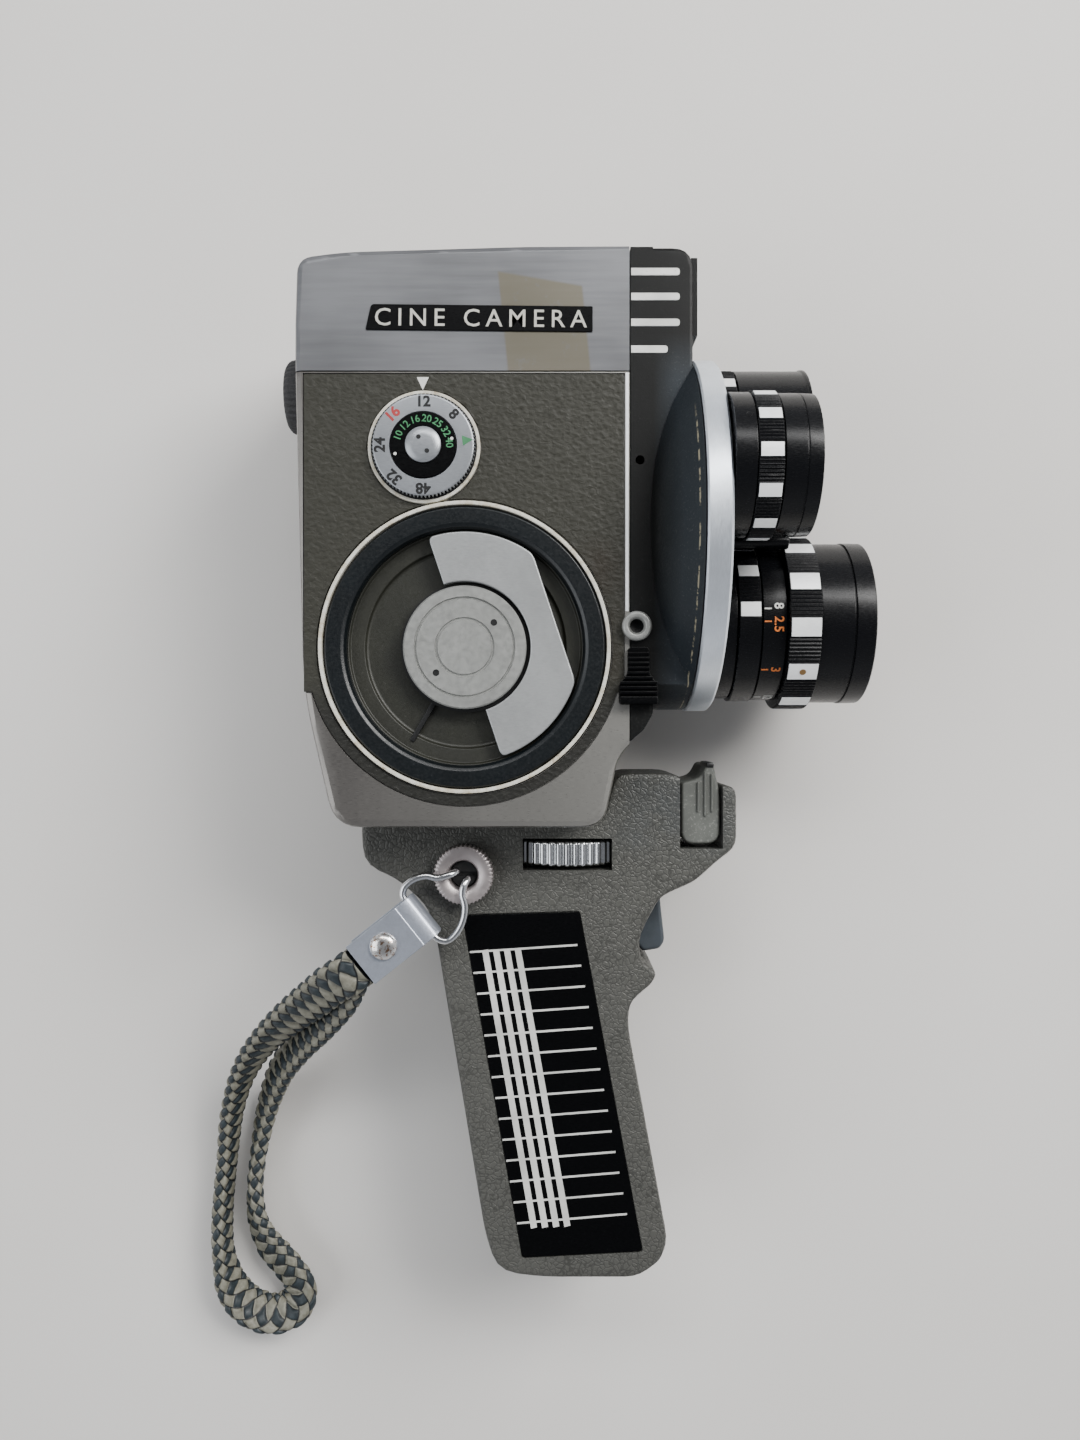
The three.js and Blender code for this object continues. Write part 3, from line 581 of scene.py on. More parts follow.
def prism(points, low, high, bevel=0, bevel_steps=3):
    """A bmesh plate between two heights with its rim edges rounded."""
    bm = bmesh.new()
    base = [bm.verts.new((p[0], p[1], low)) for p in points]
    face = bm.faces.new(base)
    extruded = bmesh.ops.extrude_face_region(bm, geom=[face])
    top = [v for v in extruded["geom"] if isinstance(v, bmesh.types.BMVert)]
    bmesh.ops.translate(bm, verts=top, vec=(0, 0, high - low))
    if bevel > 0:
        rim = [e for e in bm.edges if abs(e.verts[0].co.z - e.verts[1].co.z) < 1e-6]
        bmesh.ops.bevel(bm, geom=rim, offset=bevel, segments=bevel_steps, profile=0.5, affect="EDGES",
                        clamp_overlap=True)
    return bm


def merge(*parts):
    """Joins bmeshes into the first one, as separate closed shells."""
    first = parts[0]
    for other in parts[1:]:
        temp = bpy.data.meshes.new("merge")
        other.to_mesh(temp)
        other.free()
        first.from_mesh(temp)
        bpy.data.meshes.remove(temp)
    return first


def skin(bm, rows):
    """Quads between successive closed rows of vertices, with both ends capped."""
    count = len(rows[0])
    for one, two in zip(rows, rows[1:]):
        for k in range(count):
            n = (k + 1) % count
            bm.faces.new((one[k], one[n], two[n], two[k]))
    bm.faces.new(rows[0])
    bm.faces.new(list(reversed(rows[-1])))
    return bm


def box(low, high, bevel=0, spin=None):
    bm = bmesh.new()
    bmesh.ops.create_cube(bm, size=1)
    size = Vector(high) - Vector(low)
    middle = (Vector(high) + Vector(low)) / 2
    for vert in bm.verts:
        vert.co = Vector([vert.co[k] * size[k] for k in range(3)]) + middle
    if bevel > 0:
        bmesh.ops.bevel(bm, geom=bm.edges[:], offset=bevel, segments=2, profile=0.5, affect="EDGES")
    if spin:
        bmesh.ops.transform(bm, matrix=spin, verts=bm.verts)
    return bm


# ---- Strap ----
def between(p, q, start, end, now):
    return p * ((end - now) / (end - start)) + q * ((now - start) / (end - start))


def smooth_route(points, per_span=24):
    """Centripetal Catmull-Rom points through a route."""
    pts = [Vector(p) for p in points]
    pts = [pts[0] * 2 - pts[1]] + pts + [pts[-1] * 2 - pts[-2]]
    out = []
    for i in range(1, len(pts) - 2):
        p = pts[i - 1:i + 3]
        t = [0]
        for a, b in zip(p, p[1:]):
            t.append(t[-1] + math.sqrt((b - a).length))
        for k in range(per_span):
            now = t[1] + (t[2] - t[1]) * k / per_span
            a = [between(p[j], p[j + 1], t[j], t[j + 1], now) for j in range(3)]
            b = [between(a[j], a[j + 1], t[j], t[j + 2], now) for j in range(2)]
            out.append(between(b[0], b[1], t[1], t[2], now))
    out.append(pts[-2].copy())
    return out


def oval(turns, across, thick):
    """Point of a flat rounded section at a fraction of a turn, as (across, through) millimetres."""
    angle = 2 * math.pi * turns
    c, s = math.cos(angle), math.sin(angle)
    return math.copysign(abs(c) ** 0.75, c) * across / 2, math.copysign(abs(s) ** 0.75, s) * thick / 2


def plait_height(along, turns):
    """0 to 1 over a plain plait: two families of strips that cross and pass over each other in turn."""
    a = turns * PLAIT_STRIPS + along / PLAIT_PITCH
    b = turns * PLAIT_STRIPS - along / PLAIT_PITCH
    over = (math.floor(a) + math.floor(b)) % 2 == 0
    side, run = (a % 1 - 0.5, b % 1 - 0.5) if over else (b % 1 - 0.5, a % 1 - 0.5)
    edge = 1 - max(0, (abs(side) - (0.36 if over else DARK_HALF - 0.14)) / 0.14) ** 2
    edge = max(edge, 0)
    return math.cos(math.pi * run) ** 0.6 * edge


def make_strap():
    path = smooth_route(STRAP_ROUTE)
    length = [0]
    for a, b in zip(path, path[1:]):
        length.append(length[-1] + (b - a).length)
    total = length[-1]
    sides = 100
    turn_at = [stop[0] for stop in STRAP_TURNS]
    turn_by = [stop[1] for stop in STRAP_TURNS]
    bm = bmesh.new()
    uv_layer = bm.loops.layers.uv.new("plait")
    rings = []
    for i, point in enumerate(path):
        along = length[i] / total
        tangent = (path[min(i + 1, len(path) - 1)] - path[max(i - 1, 0)]).normalized()
        level = tangent.cross(Vector((0, 0, 1))).normalized()
        upright = level.cross(tangent).normalized()
        turned_by = math.radians(float(np.interp(along, turn_at, turn_by)))
        wide = level * math.cos(turned_by) + upright * math.sin(turned_by)
        deep = tangent.cross(wide).normalized()
        row = []
        for k in range(sides):
            x, y = oval(k / sides, STRAP_WIDTH - 2 * PLAIT_RELIEF, STRAP_THICK - 2 * PLAIT_RELIEF)
            out = Vector((x / STRAP_WIDTH ** 2, y / STRAP_THICK ** 2)).normalized()
            rise = PLAIT_RELIEF * plait_height(length[i], k / sides)
            spot = point + wide * (x + out.x * rise) + deep * (y + out.y * rise)
            spot.z = max(spot.z, FLOOR_CLEARANCE)
            row.append(bm.verts.new(spot))
        rings.append(row)
    for index, face in enumerate(list(skin(bm, rings).faces)[:-2]):
        i, k = divmod(index, sides)
        for loop, (row, column) in zip(face.loops, ((i, k), (i, k + 1), (i + 1, k + 1), (i + 1, k))):
            loop[uv_layer].uv = (length[row], column / sides)
    strap = add_piece("braided_wrist_strap", bm, "braid", "clasp", ("wrist_strap",), 70)


make_strap()


# ---- More mesh tools for the detailed pieces ----
def plate_points(start, end, radius, steps=40):
    """Points on an arc in degrees about the origin."""
    angles = [math.radians(start + (end - start) * k / steps) for k in range(steps + 1)]
    return [Vector((radius * math.cos(angle), radius * math.sin(angle))) for angle in angles]


def wire_tube(points, radius, sides=18, per_span=8):
    path = smooth_route(points, per_span)
    bm = bmesh.new()
    rings = []
    side = None
    for i, point in enumerate(path):
        tangent = (path[min(i + 1, len(path) - 1)] - path[max(i - 1, 0)]).normalized()
        side = (side - tangent * side.dot(tangent) if side else tangent.orthogonal()).normalized()
        up = tangent.cross(side)
        turns = [2 * math.pi * k / sides for k in range(sides)]
        rings.append([bm.verts.new(point + (side * math.cos(a) + up * math.sin(a)) * radius) for a in turns])
    return skin(bm, rings)


def lettering(text, size, thick=0.08, weight=0.045, spacing=1):
    """A flat numeral in the XY plane, centred on the origin and facing +Z."""
    curve = bpy.data.curves.new("numeral", "FONT")
    curve.body = text
    curve.size = size
    curve.align_x = "CENTER"
    curve.align_y = "CENTER"
    curve.extrude = thick / 2
    curve.offset = weight
    curve.space_character = spacing
    curve.resolution_u = 3
    holder = new_object("numeral", curve)
    mesh = bpy.data.meshes.new_from_object(holder.evaluated_get(bpy.context.evaluated_depsgraph_get()))
    bm = bmesh.new()
    bm.from_mesh(mesh)
    bpy.data.objects.remove(holder)
    bpy.data.curves.remove(curve)
    bpy.data.meshes.remove(mesh)
    return bm


def moved(bm, matrix):
    bmesh.ops.transform(bm, matrix=matrix, verts=bm.verts)
    return bm


def spin_about_z(degrees):
    return Matrix.Rotation(math.radians(degrees), 4, "Z")


def around(radius, degrees):
    """A shift to a point at degrees round the Z axis."""
    angle = math.radians(degrees)
    return Matrix.Translation((radius * math.cos(angle), radius * math.sin(angle), 0))


# ---- Lenses: [radius, distance ahead of the turret plate] outlines, turned about the lens axis ----
def lens_place(index):
    angle = math.radians(FIRST_LENS_ANGLE + 120 * index)
    return Vector((LENS_SEATS[index], TURRET_CENTRE[0] + LENS_CIRCLE * math.cos(angle),
                   TURRET_CENTRE[1] + LENS_CIRCLE * math.sin(angle)))


NORMAL, TELE, WIDE = lens_place(0), lens_place(1), lens_place(2)
TELE_SCALE = 18.42
RIBS = 7
BLOCKS = 12
BLOCK_PITCH = 360 / BLOCKS


def lens_part(name, place, profile, body, replaced, material="lens_black", edge=0.22):
    bm = turn(softened(profile, edge), "x", 160)
    return add_piece(name, bm, material, body, replaced, 32, place)


def around_lens(degrees, radius, ahead):
    """Frame on a lens ring: X down the side, Y along the lens, Z outward, at degrees from +Z to +Y."""
    t = math.radians(degrees)
    return Matrix(((0, 1, 0, ahead), (-math.cos(t), 0, math.sin(t), radius * math.sin(t)),
                   (math.sin(t), 0, math.cos(t), radius * math.cos(t)), (0, 0, 0, 1)))


def grip_band(name, place, body, replaced, inner, outer, near, far, phase, block_half, covered=(-180, 180)):
    """A focus or aperture ring: fine ribs along the lens, broken by bright rectangular blocks."""
    depth = 0.3
    free = BLOCK_PITCH - 2 * block_half

    def ribbed(radius, height, angle):
        if radius < outer - 0.5:
            return radius
        clock = 90 - math.degrees(angle)
        local = (clock - phase + BLOCK_PITCH / 2) % BLOCK_PITCH - BLOCK_PITCH / 2
        clock = (clock + 180) % 360 - 180
        if abs(local) <= block_half or not covered[0] <= clock <= covered[1]:
            return radius - 0.04
        turns = (abs(local) - block_half) / free * RIBS
        return radius - depth * (0.5 - 0.5 * math.cos(2 * math.pi * turns))

    rim = [(inner, near), (outer - 0.25, near), (outer, near + 0.2), (outer, far - 0.2), (outer - 0.25, far),
           (inner, far)]
    add_piece(name, turn(rim, "x", 960, ribbed), "lens_black", body, replaced, 50, place)
    parts = []
    for k in range(BLOCKS):
        clock = (phase + k * BLOCK_PITCH + 180) % 360 - 180
        if covered[0] <= clock - block_half and clock + block_half <= covered[1]:
            parts.append(arc_block(outer, clock, block_half, near + 0.3, far - 0.3))
    add_piece(name + "_blocks", merge(*parts), "block_silver", body, (), 30, place)


def arc_block(radius, clock, half, near, far):
    """A thin bright plate that follows the ring's curve."""
    bm = bmesh.new()
    steps = 6
    columns = []
    for k in range(steps + 1):
        t = math.radians(clock - half + 2 * half * k / steps)
        columns.append([bm.verts.new((x, r * math.sin(t), r * math.cos(t)))
                        for x, r in ((near, radius - 0.3), (near, radius + 0.01), (near + 0.1, radius + 0.08),
                                     (far - 0.1, radius + 0.08), (far, radius + 0.01), (far, radius - 0.3))])
    return skin(bm, columns)


def make_normal_lens():
    lens_part("normal_barrel", NORMAL, [
        (8.5, -2.3), (15.1, -2.3), (15.1, 2), (12.5, 2), (12.5, 7.7), (14.9, 7.7), (14.9, 12), (14.7, 12.1),
        (14.7, 12.3), (14.9, 12.4), (14.75, 15.3), (14.1, 15.5), (12.6, 14.9), (12.4, 14.2), (11.2, 13.8),
        (11, 13.1), (9.8, 12.7), (9.4, 11.9), (8.5, 11.4),
    ], "turret", ("normal_lens_barrel",), edge=0.12)
    grip_band("normal_focus_band", NORMAL, "normal_focus", ("normal_focus_ring",), 12.8, 15.5, 2.2, 7.4,
              0, 5.2)
    dimple = turn([(0, 0), (0.5, 0), (0.62, 0.1), (0.62, -0.5), (0, -0.5)], "z", 24)
    add_piece("normal_grub_screw", moved(dimple, around_lens(30, 15.06, 0.6)), "black_paint", "turret",
              (), 40, NORMAL)


def make_tele_lens():
    lens_part("tele_barrel", TELE, [
        (11, -2.3), (18, -2.3), (18, 3.2), (15.5, 3.2), (15.5, 9), (18.4, 9), (18.4, 14.3), (16, 14.3), (16, 22.2),
        (19, 22.2), (19, 29.6), (18.75, 29.7), (18.75, 29.9), (19.2, 30.05), (19.1, 34.3), (18.7, 34.6),
        (17.6, 34.55), (17.3, 33.6), (16.2, 33.3), (15.9, 32.3), (14.8, 32), (14.5, 31), (13.6, 30.6),
        (13.2, 28.4), (13.2, 20), (11, 20),
    ], "turret", ("tele_lens_barrel",), edge=0.12)
    grip_band("tele_focus_band", TELE, "tele_focus", ("tele_focus_ring",), 16.3, 20.5, 14.6, 21.9, -6.8, 5.8)
    grip_band("tele_aperture_band", TELE, "tele_aperture", ("tele_aperture_ring",), 15.8, 18.7, 3.5, 8.7, 5.5, 5,
              (0, 150))
    dot = turn([(0, 0.12), (0.75, 0.12), (0.75, 0), (0, 0)], "z", 24)
    add_piece("tele_focus_dot", moved(dot, around_lens(-36.8, 20.56, 18.2)), "amber_paint", "tele_focus",
              (), 40, TELE)
    # [number, its clock, its tick's clock]
    for ink, marks in (("white", (("8", 8, 6), ("12", -74, -74))),
                       ("orange", (("2.5", -5, -3), ("3", -39.3, -39.3)))):
        numbers = [moved(lettering(text, 3), around_lens(clock, TELE_SCALE, 12.4))
                   for text, clock, _ in marks]
        ticks = [moved(box((-0.16, -0.8, -0.1), (0.16, 0.8, 0.05)), around_lens(clock, TELE_SCALE, 10))
                 for _, _, clock in marks]
        add_piece("tele_scale_" + ink, merge(*numbers, *ticks), ink + "_paint", "turret",
                  (), 30, TELE)


def make_wide_lens():
    lens_part("wide_barrel", WIDE, [
        (10, 0), (18.6, 0), (18.6, 2.1), (16, 2.1), (16, 7.9), (19, 7.9), (19, 24.2), (19.3, 24.4),
        (19.3, 25.1), (18.3, 25.1), (17.6, 23.8), (16.4, 23.2), (15.8, 22), (14.6, 21.4), (14, 20.4),
        (12.6, 19.8), (12.2, 14), (10, 14),
    ], "turret", ("wide_lens_barrel",), edge=0.12)
    grip_band("wide_focus_band", WIDE, "wide_focus", ("wide_focus_ring",), 16.3, 19.2, 2.4, 7.6, 12, 5)


def make_lens_glass():
    lenses = [("normal", NORMAL, 8.2, 8.4, 2.3), ("tele", TELE, 12.9, 24.4, 3.2), ("wide", WIDE, 11.9, 15.5, 3.1)]
    for name, place, radius, near, bulge in lenses:
        dome = [(radius * math.sin(k * math.pi / 20), near + 1.2 + (bulge - 1.2) * math.cos(k * math.pi / 20))
                for k in range(11)]
        bm = turn([(0, near)] + dome[::-1], "x", 96)
        add_piece(name + "_front_element", bm, "glass", "turret", (name + "_lens_glass",), 40,
                  place)


def make_turret_grip():
    """Three thin fins on the turret's axis, one between each pair of lenses, to turn it by."""
    corners = []
    for k in range(3):
        clock = math.radians(FIRST_LENS_ANGLE + 60 + 120 * k)
        out = Vector((math.cos(clock), math.sin(clock)))
        aside = Vector((-out.y, out.x)) * 1.5
        notch = Vector((math.cos(clock + math.pi / 3), math.sin(clock + math.pi / 3))) * 3.6
        corners += [(*(out * 11.6 - aside), 1.3), (*(out * 11.6 + aside), 1.3), (*notch, 1.5)]
    lay_along_x = Matrix(((0, 0, 1, 0), (1, 0, 0, 0), (0, 1, 0, 0), (0, 0, 0, 1)))
    fins = moved(prism(rounded_outline(corners), 38.6, 56.8, 0.6), lay_along_x)
    add_piece("turret_grip_fins", fins, "lens_black", "turret", (), 35, (0, *TURRET_CENTRE))


make_turret_grip()
make_normal_lens()
make_tele_lens()
make_wide_lens()
make_lens_glass()


# ---- Winding unit ----
def make_winding_unit():
    def part(name, bm, material, body, slot, replaced=(), smooth=35):
        add_piece(name, bm, material, body, replaced, smooth, (*WINDING, 0))

    trim = softened([(30.85, 57.5), (31.7, 57.5), (31.7, 60.8), (30.85, 60.8)], 0.25)
    part("winding_trim", turn(trim, "z", 192), "cream", "housing", "cream_trim", ("winding_trim_ring",))
    ring = [(25.7, 57.5), (30.55, 57.5), (30.55, 60.1), (30.2, 60.5), (26.9, 60.45), (26.2, 60.1),
            (25.7, 59.2)]
    part("winding_bezel", turn(softened(ring, 0.15), "z", 192), "blue_black", "housing", "blue_black",
         ("winding_ring",))
    dish = [(3.6, 54), (31.6, 54), (31.6, 57.2), (25.6, 57.2), (25.2, 56.6), (22.2, 56.4), (21.8, 55.75),
            (21.4, 55.6), (3.6, 55.6)]
    part("winding_floor", turn(softened(dish, 0.15), "z", 160), "olive", "housing", "olive_paint",
         ("winding_dish",))
    spoke = box((13.7, -0.55, 55.5), (23.6, 0.55, 56.9), 0.2, spin_about_z(240))
    part("winding_stop_arm", spoke, "black_paint", "housing", "blue_black")
    hub = [(0, 56), (13.4, 56), (13.4, 59.9), (13.1, 60.2), (11, 60.25), (10.9, 59.85), (10.6, 59.85),
           (10.45, 60.25), (6.5, 60.3), (6.35, 59.95), (6, 59.95), (5.85, 60.35), (0, 60.4)]
    axle = [(0, 40), (3.2, 40), (3.2, 56.2), (0, 56.2)]
    part("winding_hub_turned", merge(turn(hub, "z", 160), turn(axle, "z", 32)), "hub_silver", "winding_hub",
         "steel", ("winding_hub",), 25)
    # Painted shade: two black discs flush with the hub's top stand in for its pin holes
    hole_shades = [moved(turn([(0, 60.2), (0.72, 60.2), (0.72, 60.33), (0, 60.3)], "z", 24), around(8.3, clock))
             for clock in (40, 222)]
    part("winding_hub_pin_hole_shades", merge(*hole_shades), "black_paint", "winding_hub", "blue_black")
    groove = turn([(13.45, 57.3), (14.1, 57.3), (14.1, 57.6), (13.45, 57.6)], "z", 128)
    part("winding_hub_skirt", groove, "black_paint", "winding_hub", "blue_black")
    low, high = KEY_TILT - 180, KEY_TILT
    one, two, three, four = [(*plate_points(a, a, KEY_OUTER, 1)[0], KEY_CORNER) for a in (low, *KEY_FLAT, high)]
    free = 6
    key = rounded_outline([one] + plate_points(low + free, KEY_FLAT[0] - free, KEY_OUTER, 20) + [two, three]
                          + plate_points(KEY_FLAT[1] + free, high - free, KEY_OUTER, 16) + [four]
                          + plate_points(high, low, KEY_INNER, 60))
    part("winding_key_plate", prism(key, 57.6, 60.2, 0.35), "key_silver", "winding_key", "silver_ring",
         ("winding_key",))


make_winding_unit()


# ---- Speed dial ----
def dial_mark(text, size, clock, radius, height, weight=0.12):
    """A numeral whose top points away from the dial's middle, at clock degrees from the top."""
    angle = math.radians(clock)
    place = Matrix.Translation((radius * math.sin(angle), radius * math.cos(angle), height))
    return moved(lettering(text, size, 0.08, weight), place @ spin_about_z(-clock))


def make_dial():
    def part(name, bm, material, body, slot="gloss_black", replaced=(), smooth=35):
        add_piece(name, bm, material, body, replaced, smooth, (*DIAL, 0))

    base = softened([(2.6, 59.3), (12.2, 59.3), (12.2, 60.7), (2.6, 60.7)], 0.3)
    part("dial_base", turn(base, "z", 128), "cream", "housing", "cream_trim", ("dial_base_ring",))

    def milled(radius, height, angle):
        if radius < DIAL_RIM:
            return radius
        return radius - 0.55 * (0.5 + 0.5 * math.cos(DIAL_TEETH * angle))

    shade_ring = turn([(10.2, 60.6), (11.5, 60.6), (11.5, 60.78), (10.2, 60.78)], "z", 128)
    part("dial_shadow_ring", shade_ring, "black_paint", "housing", "cream_trim")
    face = [(7.3, 61), (11.2, 61), (11.2, 61.9), (10.85, 62.3), (10.7, 62.37), (10.5, 62.39), (7.3, 62.4)]
    part("speed_dial_face", turn(face, "z", 720, milled), "satin_silver", "speed_dial", "silver_ring",
         ("speed_dial",), 50)
    inner = softened([(4, 61), (7.15, 61), (7.15, 62.6), (4, 62.6)], 0.15)
    part("film_speed_disc", turn(inner, "z", 96), "panel_black", "film_speed_ring", replaced=("film_speed_ring",))
    cap = [(0, 52), (2.2, 52), (2.2, 61), (3.85, 61), (3.85, 63), (3.5, 63.3), (2, 63.45), (0, 63.5)]
    part("dial_cap_turned", turn(cap, "z", 96), "satin_silver", "speed_dial", "chrome", ("dial_cap",))
    dots = [moved(turn([(0, 63.2), (0.5, 63.2), (0.5, 63.52), (0, 63.52)], "z", 20),
                  Matrix.Translation((x, y, 0))) for x, y in ((-0.9, 1.5), (0.9, -1.5))]
    part("dial_cap_pins", merge(*dots), "black_paint", "speed_dial")
    black = [dial_mark(text, 3.2, clock, 9.25, DIAL_TOP)
             for text, clock in (("12", 0), ("8", 45), ("48", 180), ("32", 222), ("24", 270))]
    part("dial_numbers", merge(*black), "black_paint", "speed_dial")
    part("dial_number_red", dial_mark("16", 3.2, 315, 9.25, DIAL_TOP), "red_paint", "speed_dial")
    arrow = prism([Vector((-1.1, -0.7)), Vector((1.1, -0.7)), Vector((0, 1.5))], 62.35, 62.45)
    part("dial_green_mark", moved(arrow, around(9.2, 6) @ spin_about_z(-84)), "green_paint", "speed_dial")
    speeds = [dial_mark(str(speed), 2.2, 26 * k - 70, 5.6, 62.62, 0.02)
              for k, speed in enumerate((10, 12, 16, 20, 25, 32, 40))]
    part("film_speed_numbers", merge(*speeds), "green_paint", "film_speed_ring")
    spots = [moved(turn([(0, 62.58), (0.35, 62.58), (0.35, 62.66), (0, 62.66)], "z", 20), around(6.3, clock))
             for clock in (12, 198)]
    part("film_speed_dots", merge(*spots), "white_paint", "film_speed_ring")


make_dial()


# ---- Small fittings on the body ----
def make_body_fittings():
    triangle = [Vector((-26.7, 74.3)), Vector((-24.1, 74.3)), Vector((-25.4, 71.5))]
    add_piece("speed_index", prism(triangle, 60.03, 60.15), "white_paint", "housing")
    # Painted highlight: a bright strip on the housing edge right of the leatherette, standing in for the light
    # that this edge catches
    edge_highlight = box((18.55, 23.6, 59.9), (19.2, 75.3, 60.12), 0.08)
    add_piece("body_edge_highlight", edge_highlight, "block_silver", "housing")
    plate = rounded_outline([(-37.8, 84.6, 0.2), (11.4, 84.1, 0.2), (11.4, 89.6, 0.2), (-36.6, 90.1, 0.8)])
    add_piece("nameplate_tapered", prism(plate, 59.9, 60.38, 0.08, 1), "panel_black", "housing",
              ("nameplate",))
    level = Matrix.Translation((-12.9, 86.85, 60.4)) @ spin_about_z(-0.6)
    words = moved(lettering("CINE CAMERA", 5.4, 0.14, 0.01, 1.42), level)
    add_piece("nameplate_letters", words, "letter_silver", "housing")
    bars = []
    for y, right in ((97.2, 30.3), (91.8, 30.3), (86.2, 30.3), (80.4, 27.7)):
        corners = [(19.75, y - 0.8), (right, y - 0.8, 0.75), (right, y + 0.8, 0.75), (19.75, y + 0.8)]
        bars.append(prism(rounded_outline(corners), 59.9, 60.12, 0.06, 1))
    add_piece("hood_bars", merge(*bars), "white_paint", "housing")
    socket = [(1.5, 60.05), (3.2, 60.05), (3.2, 61.8), (2.8, 62.2), (2, 62.2), (1.5, 61.5)]
    add_piece("cable_socket_turned", turn(softened(socket, 0.12), "z", 64), "hub_silver", "housing",
              ("cable_socket",), 35, (20.9, 20.3, 0))
    # Painted shade: a near-black seat just inside the socket stands in for the dark of its deep hole
    hole_shade = turn([(0, 60.02), (1.52, 60.02), (1.52, 60.6), (1.1, 60.5), (0, 60.3)], "z", 48)
    add_piece("cable_socket_hole_shade", hole_shade, "panel_black", "housing", (), 35, (20.9, 20.3, 0))


def make_release_slider():
    foot = [(17, 3.3, 0.8), (25.4, 3.3, 0.8), (25.4, 7.6, 0.8), (23.6, 9.9, 1), (23.6, 15.7, 1), (18.9, 15.7, 1),
            (18.9, 9.9, 1), (17, 7.6, 0.8)]
    parts = [prism(rounded_outline(foot), 60.35, 61.9, 0.2, 2)]
    for k in range(9):
        y = 5.9 + 1.05 * k
        half = 4 if y < 8 else max(2.3, 4 - (y - 8) * 0.9)
        top = 62.9 - 0.09 * k
        parts.append(box((21.2 - half, y - 0.32, 61.6), (21.2 + half, y + 0.32, top), 0.14))
    parts.append(box((17.1, 3.4, 61.2), (25.3, 5.1, 63.2), 0.3))
    add_piece("release_slider_ribbed", merge(*parts), "panel_black", "release_slider",
              ("release_slider",), 35)


def make_eyecup():
    profile = [(4.6, -54.3), (8.2, -54.3), (8.8, -55.4)]
    profile += [(8.75 - 0.12 * k, -55.8 - 0.55 * k) for k in range(4)]
    profile += [(8, -58.1), (7.3, -58.6), (6.3, -58.5), (5.6, -58.1), (5.2, -57), (4.9, -56)]

    def fluted(radius, height, angle):
        if radius < 7.6 or height > -54.8:
            return radius
        return radius - 0.3 * (0.5 + 0.5 * math.cos(36 * angle))

    add_piece("eyecup_fluted", turn(profile, "x", 432, fluted), "rubber", "eyecup", ("eyecup",), 45,
              (0, 75.5, 40))


# ---- Grip fittings ----
GRIP_FACE = 42
PANEL = [(-18.2, -45.2), (9.3, -44.4), (24, -123.8), (-4.2, -125.3)]


def on_panel(across, down):
    """Point of the grip panel at shares of its width and height."""
    top = Vector(PANEL[0]).lerp(Vector(PANEL[1]), across)
    bottom = Vector(PANEL[3]).lerp(Vector(PANEL[2]), across)
    return top.lerp(bottom, down)


def panel_lines():
    """Thin level lines and four slanted bars, as flat outlines."""
    outlines = []
    half = Vector((0, 0.23))
    for k in range(14):
        down = 0.106 + k * 0.0606
        left, right = on_panel(0.012, down + 0.004), on_panel(0.925, down - 0.007)
        outlines.append(([left - half, right - half, right + half, left + half], 0.04))
    for k in range(4):
        left = 0.117 + 0.092 * k
        right = left + 0.052
        bar = [on_panel(left, 0.915), on_panel(right, 0.912), on_panel(right, 0.104), on_panel(left, 0.106)]
        outlines.append((bar, 0.07))
    return outlines


def make_grip_panels():
    low = 2 * GRIP_MIDDLE - GRIP_FACE
    low_x, high_x, top, foot = 0.006, 0.994, 0.004, 0.997
    corners = [(*on_panel(x, y), 0.7) for x, y in ((low_x, foot), (high_x, foot), (high_x, top), (low_x, top))]
    shape = rounded_outline(corners)
    for side, near, far, ink, toward in (("left", GRIP_FACE - 0.5, GRIP_FACE + 0.1, GRIP_FACE + 0.1, 0),
                                         ("right", low - 0.1, low + 0.5, low - 0.1, 1)):
        add_piece("grip_plate_" + side, prism(shape, near, far, 0.12, 2), "panel_black", "housing",
                  ("grip_panel_" + side,), 40)
        lines = [prism(outline, ink - rise * toward, ink + rise) for outline, rise in panel_lines()]
        add_piece("grip_plate_lines_" + side, merge(*lines), "white_paint", "housing")


def make_trigger():
    corners = [(-3.2, 3.8, 1.5), (5.5, 3.6, 2), (8.9, 1.6, 1), (9.6, -5.5, 3), (10.3, -11.4, 1.6), (9, -13.3, 1),
               (4.9, -13.9, 0.8), (1.8, -10, 2.5), (-2.6, -3.5, 2)]
    add_piece("trigger_lever", prism(rounded_outline(corners), 25.2, 34.8, 1.3, 4), "blue_plastic", "trigger",
              ("trigger",), 40, (19.6, -41.5, 0))


def make_pusher():
    corners = [(33.1, -29, 3), (42.1, -29, 3.4), (42.1, -17, 2), (40.6, -10.4, 0.8), (38.9, -10.6, 0.8),
               (37.4, -13.6, 1.6), (33.1, -14.8, 0.8)]
    parts = [prism(rounded_outline(corners), 20, 40.6, 1.2, 4)]
    for x, low, high in ((37, -21.5, -14.4), (38.6, -22.5, -12), (40.2, -21.5, -12.6)):
        parts.append(box((x - 0.3, low, 39.8), (x + 0.3, high, 41.2), 0.28))
    add_piece("finger_pusher_ridged", merge(*parts), "pusher_paint", "finger_pusher",
              ("finger_pusher",))
    tip = box((38.9, -11.2, 30), (40.7, -9.9, 40.9), 0.4)
    add_piece("finger_pusher_tip", tip, "black_paint", "finger_pusher")


def make_clamp_wheel():
    def coarse(radius, height, angle):
        if radius < 12:
            return radius
        return radius - 0.75 * (0.5 - 0.5 * math.cos(40 * angle)) ** 1.6

    rim = [(0, -3), (12.1, -3), (12.8, -2.7), (13, -2.2), (13, 2.2), (12.8, 2.7), (12.1, 3), (0, 3)]
    bm = moved(turn(rim, "z", 640, coarse), Matrix.Rotation(math.radians(90), 4, "X"))
    add_piece("clamp_wheel_ribbed", bm, "chrome", "clamp_wheel", ("clamp_wheel",), 50,
              (6.3, -31.2, GRIP_MIDDLE))


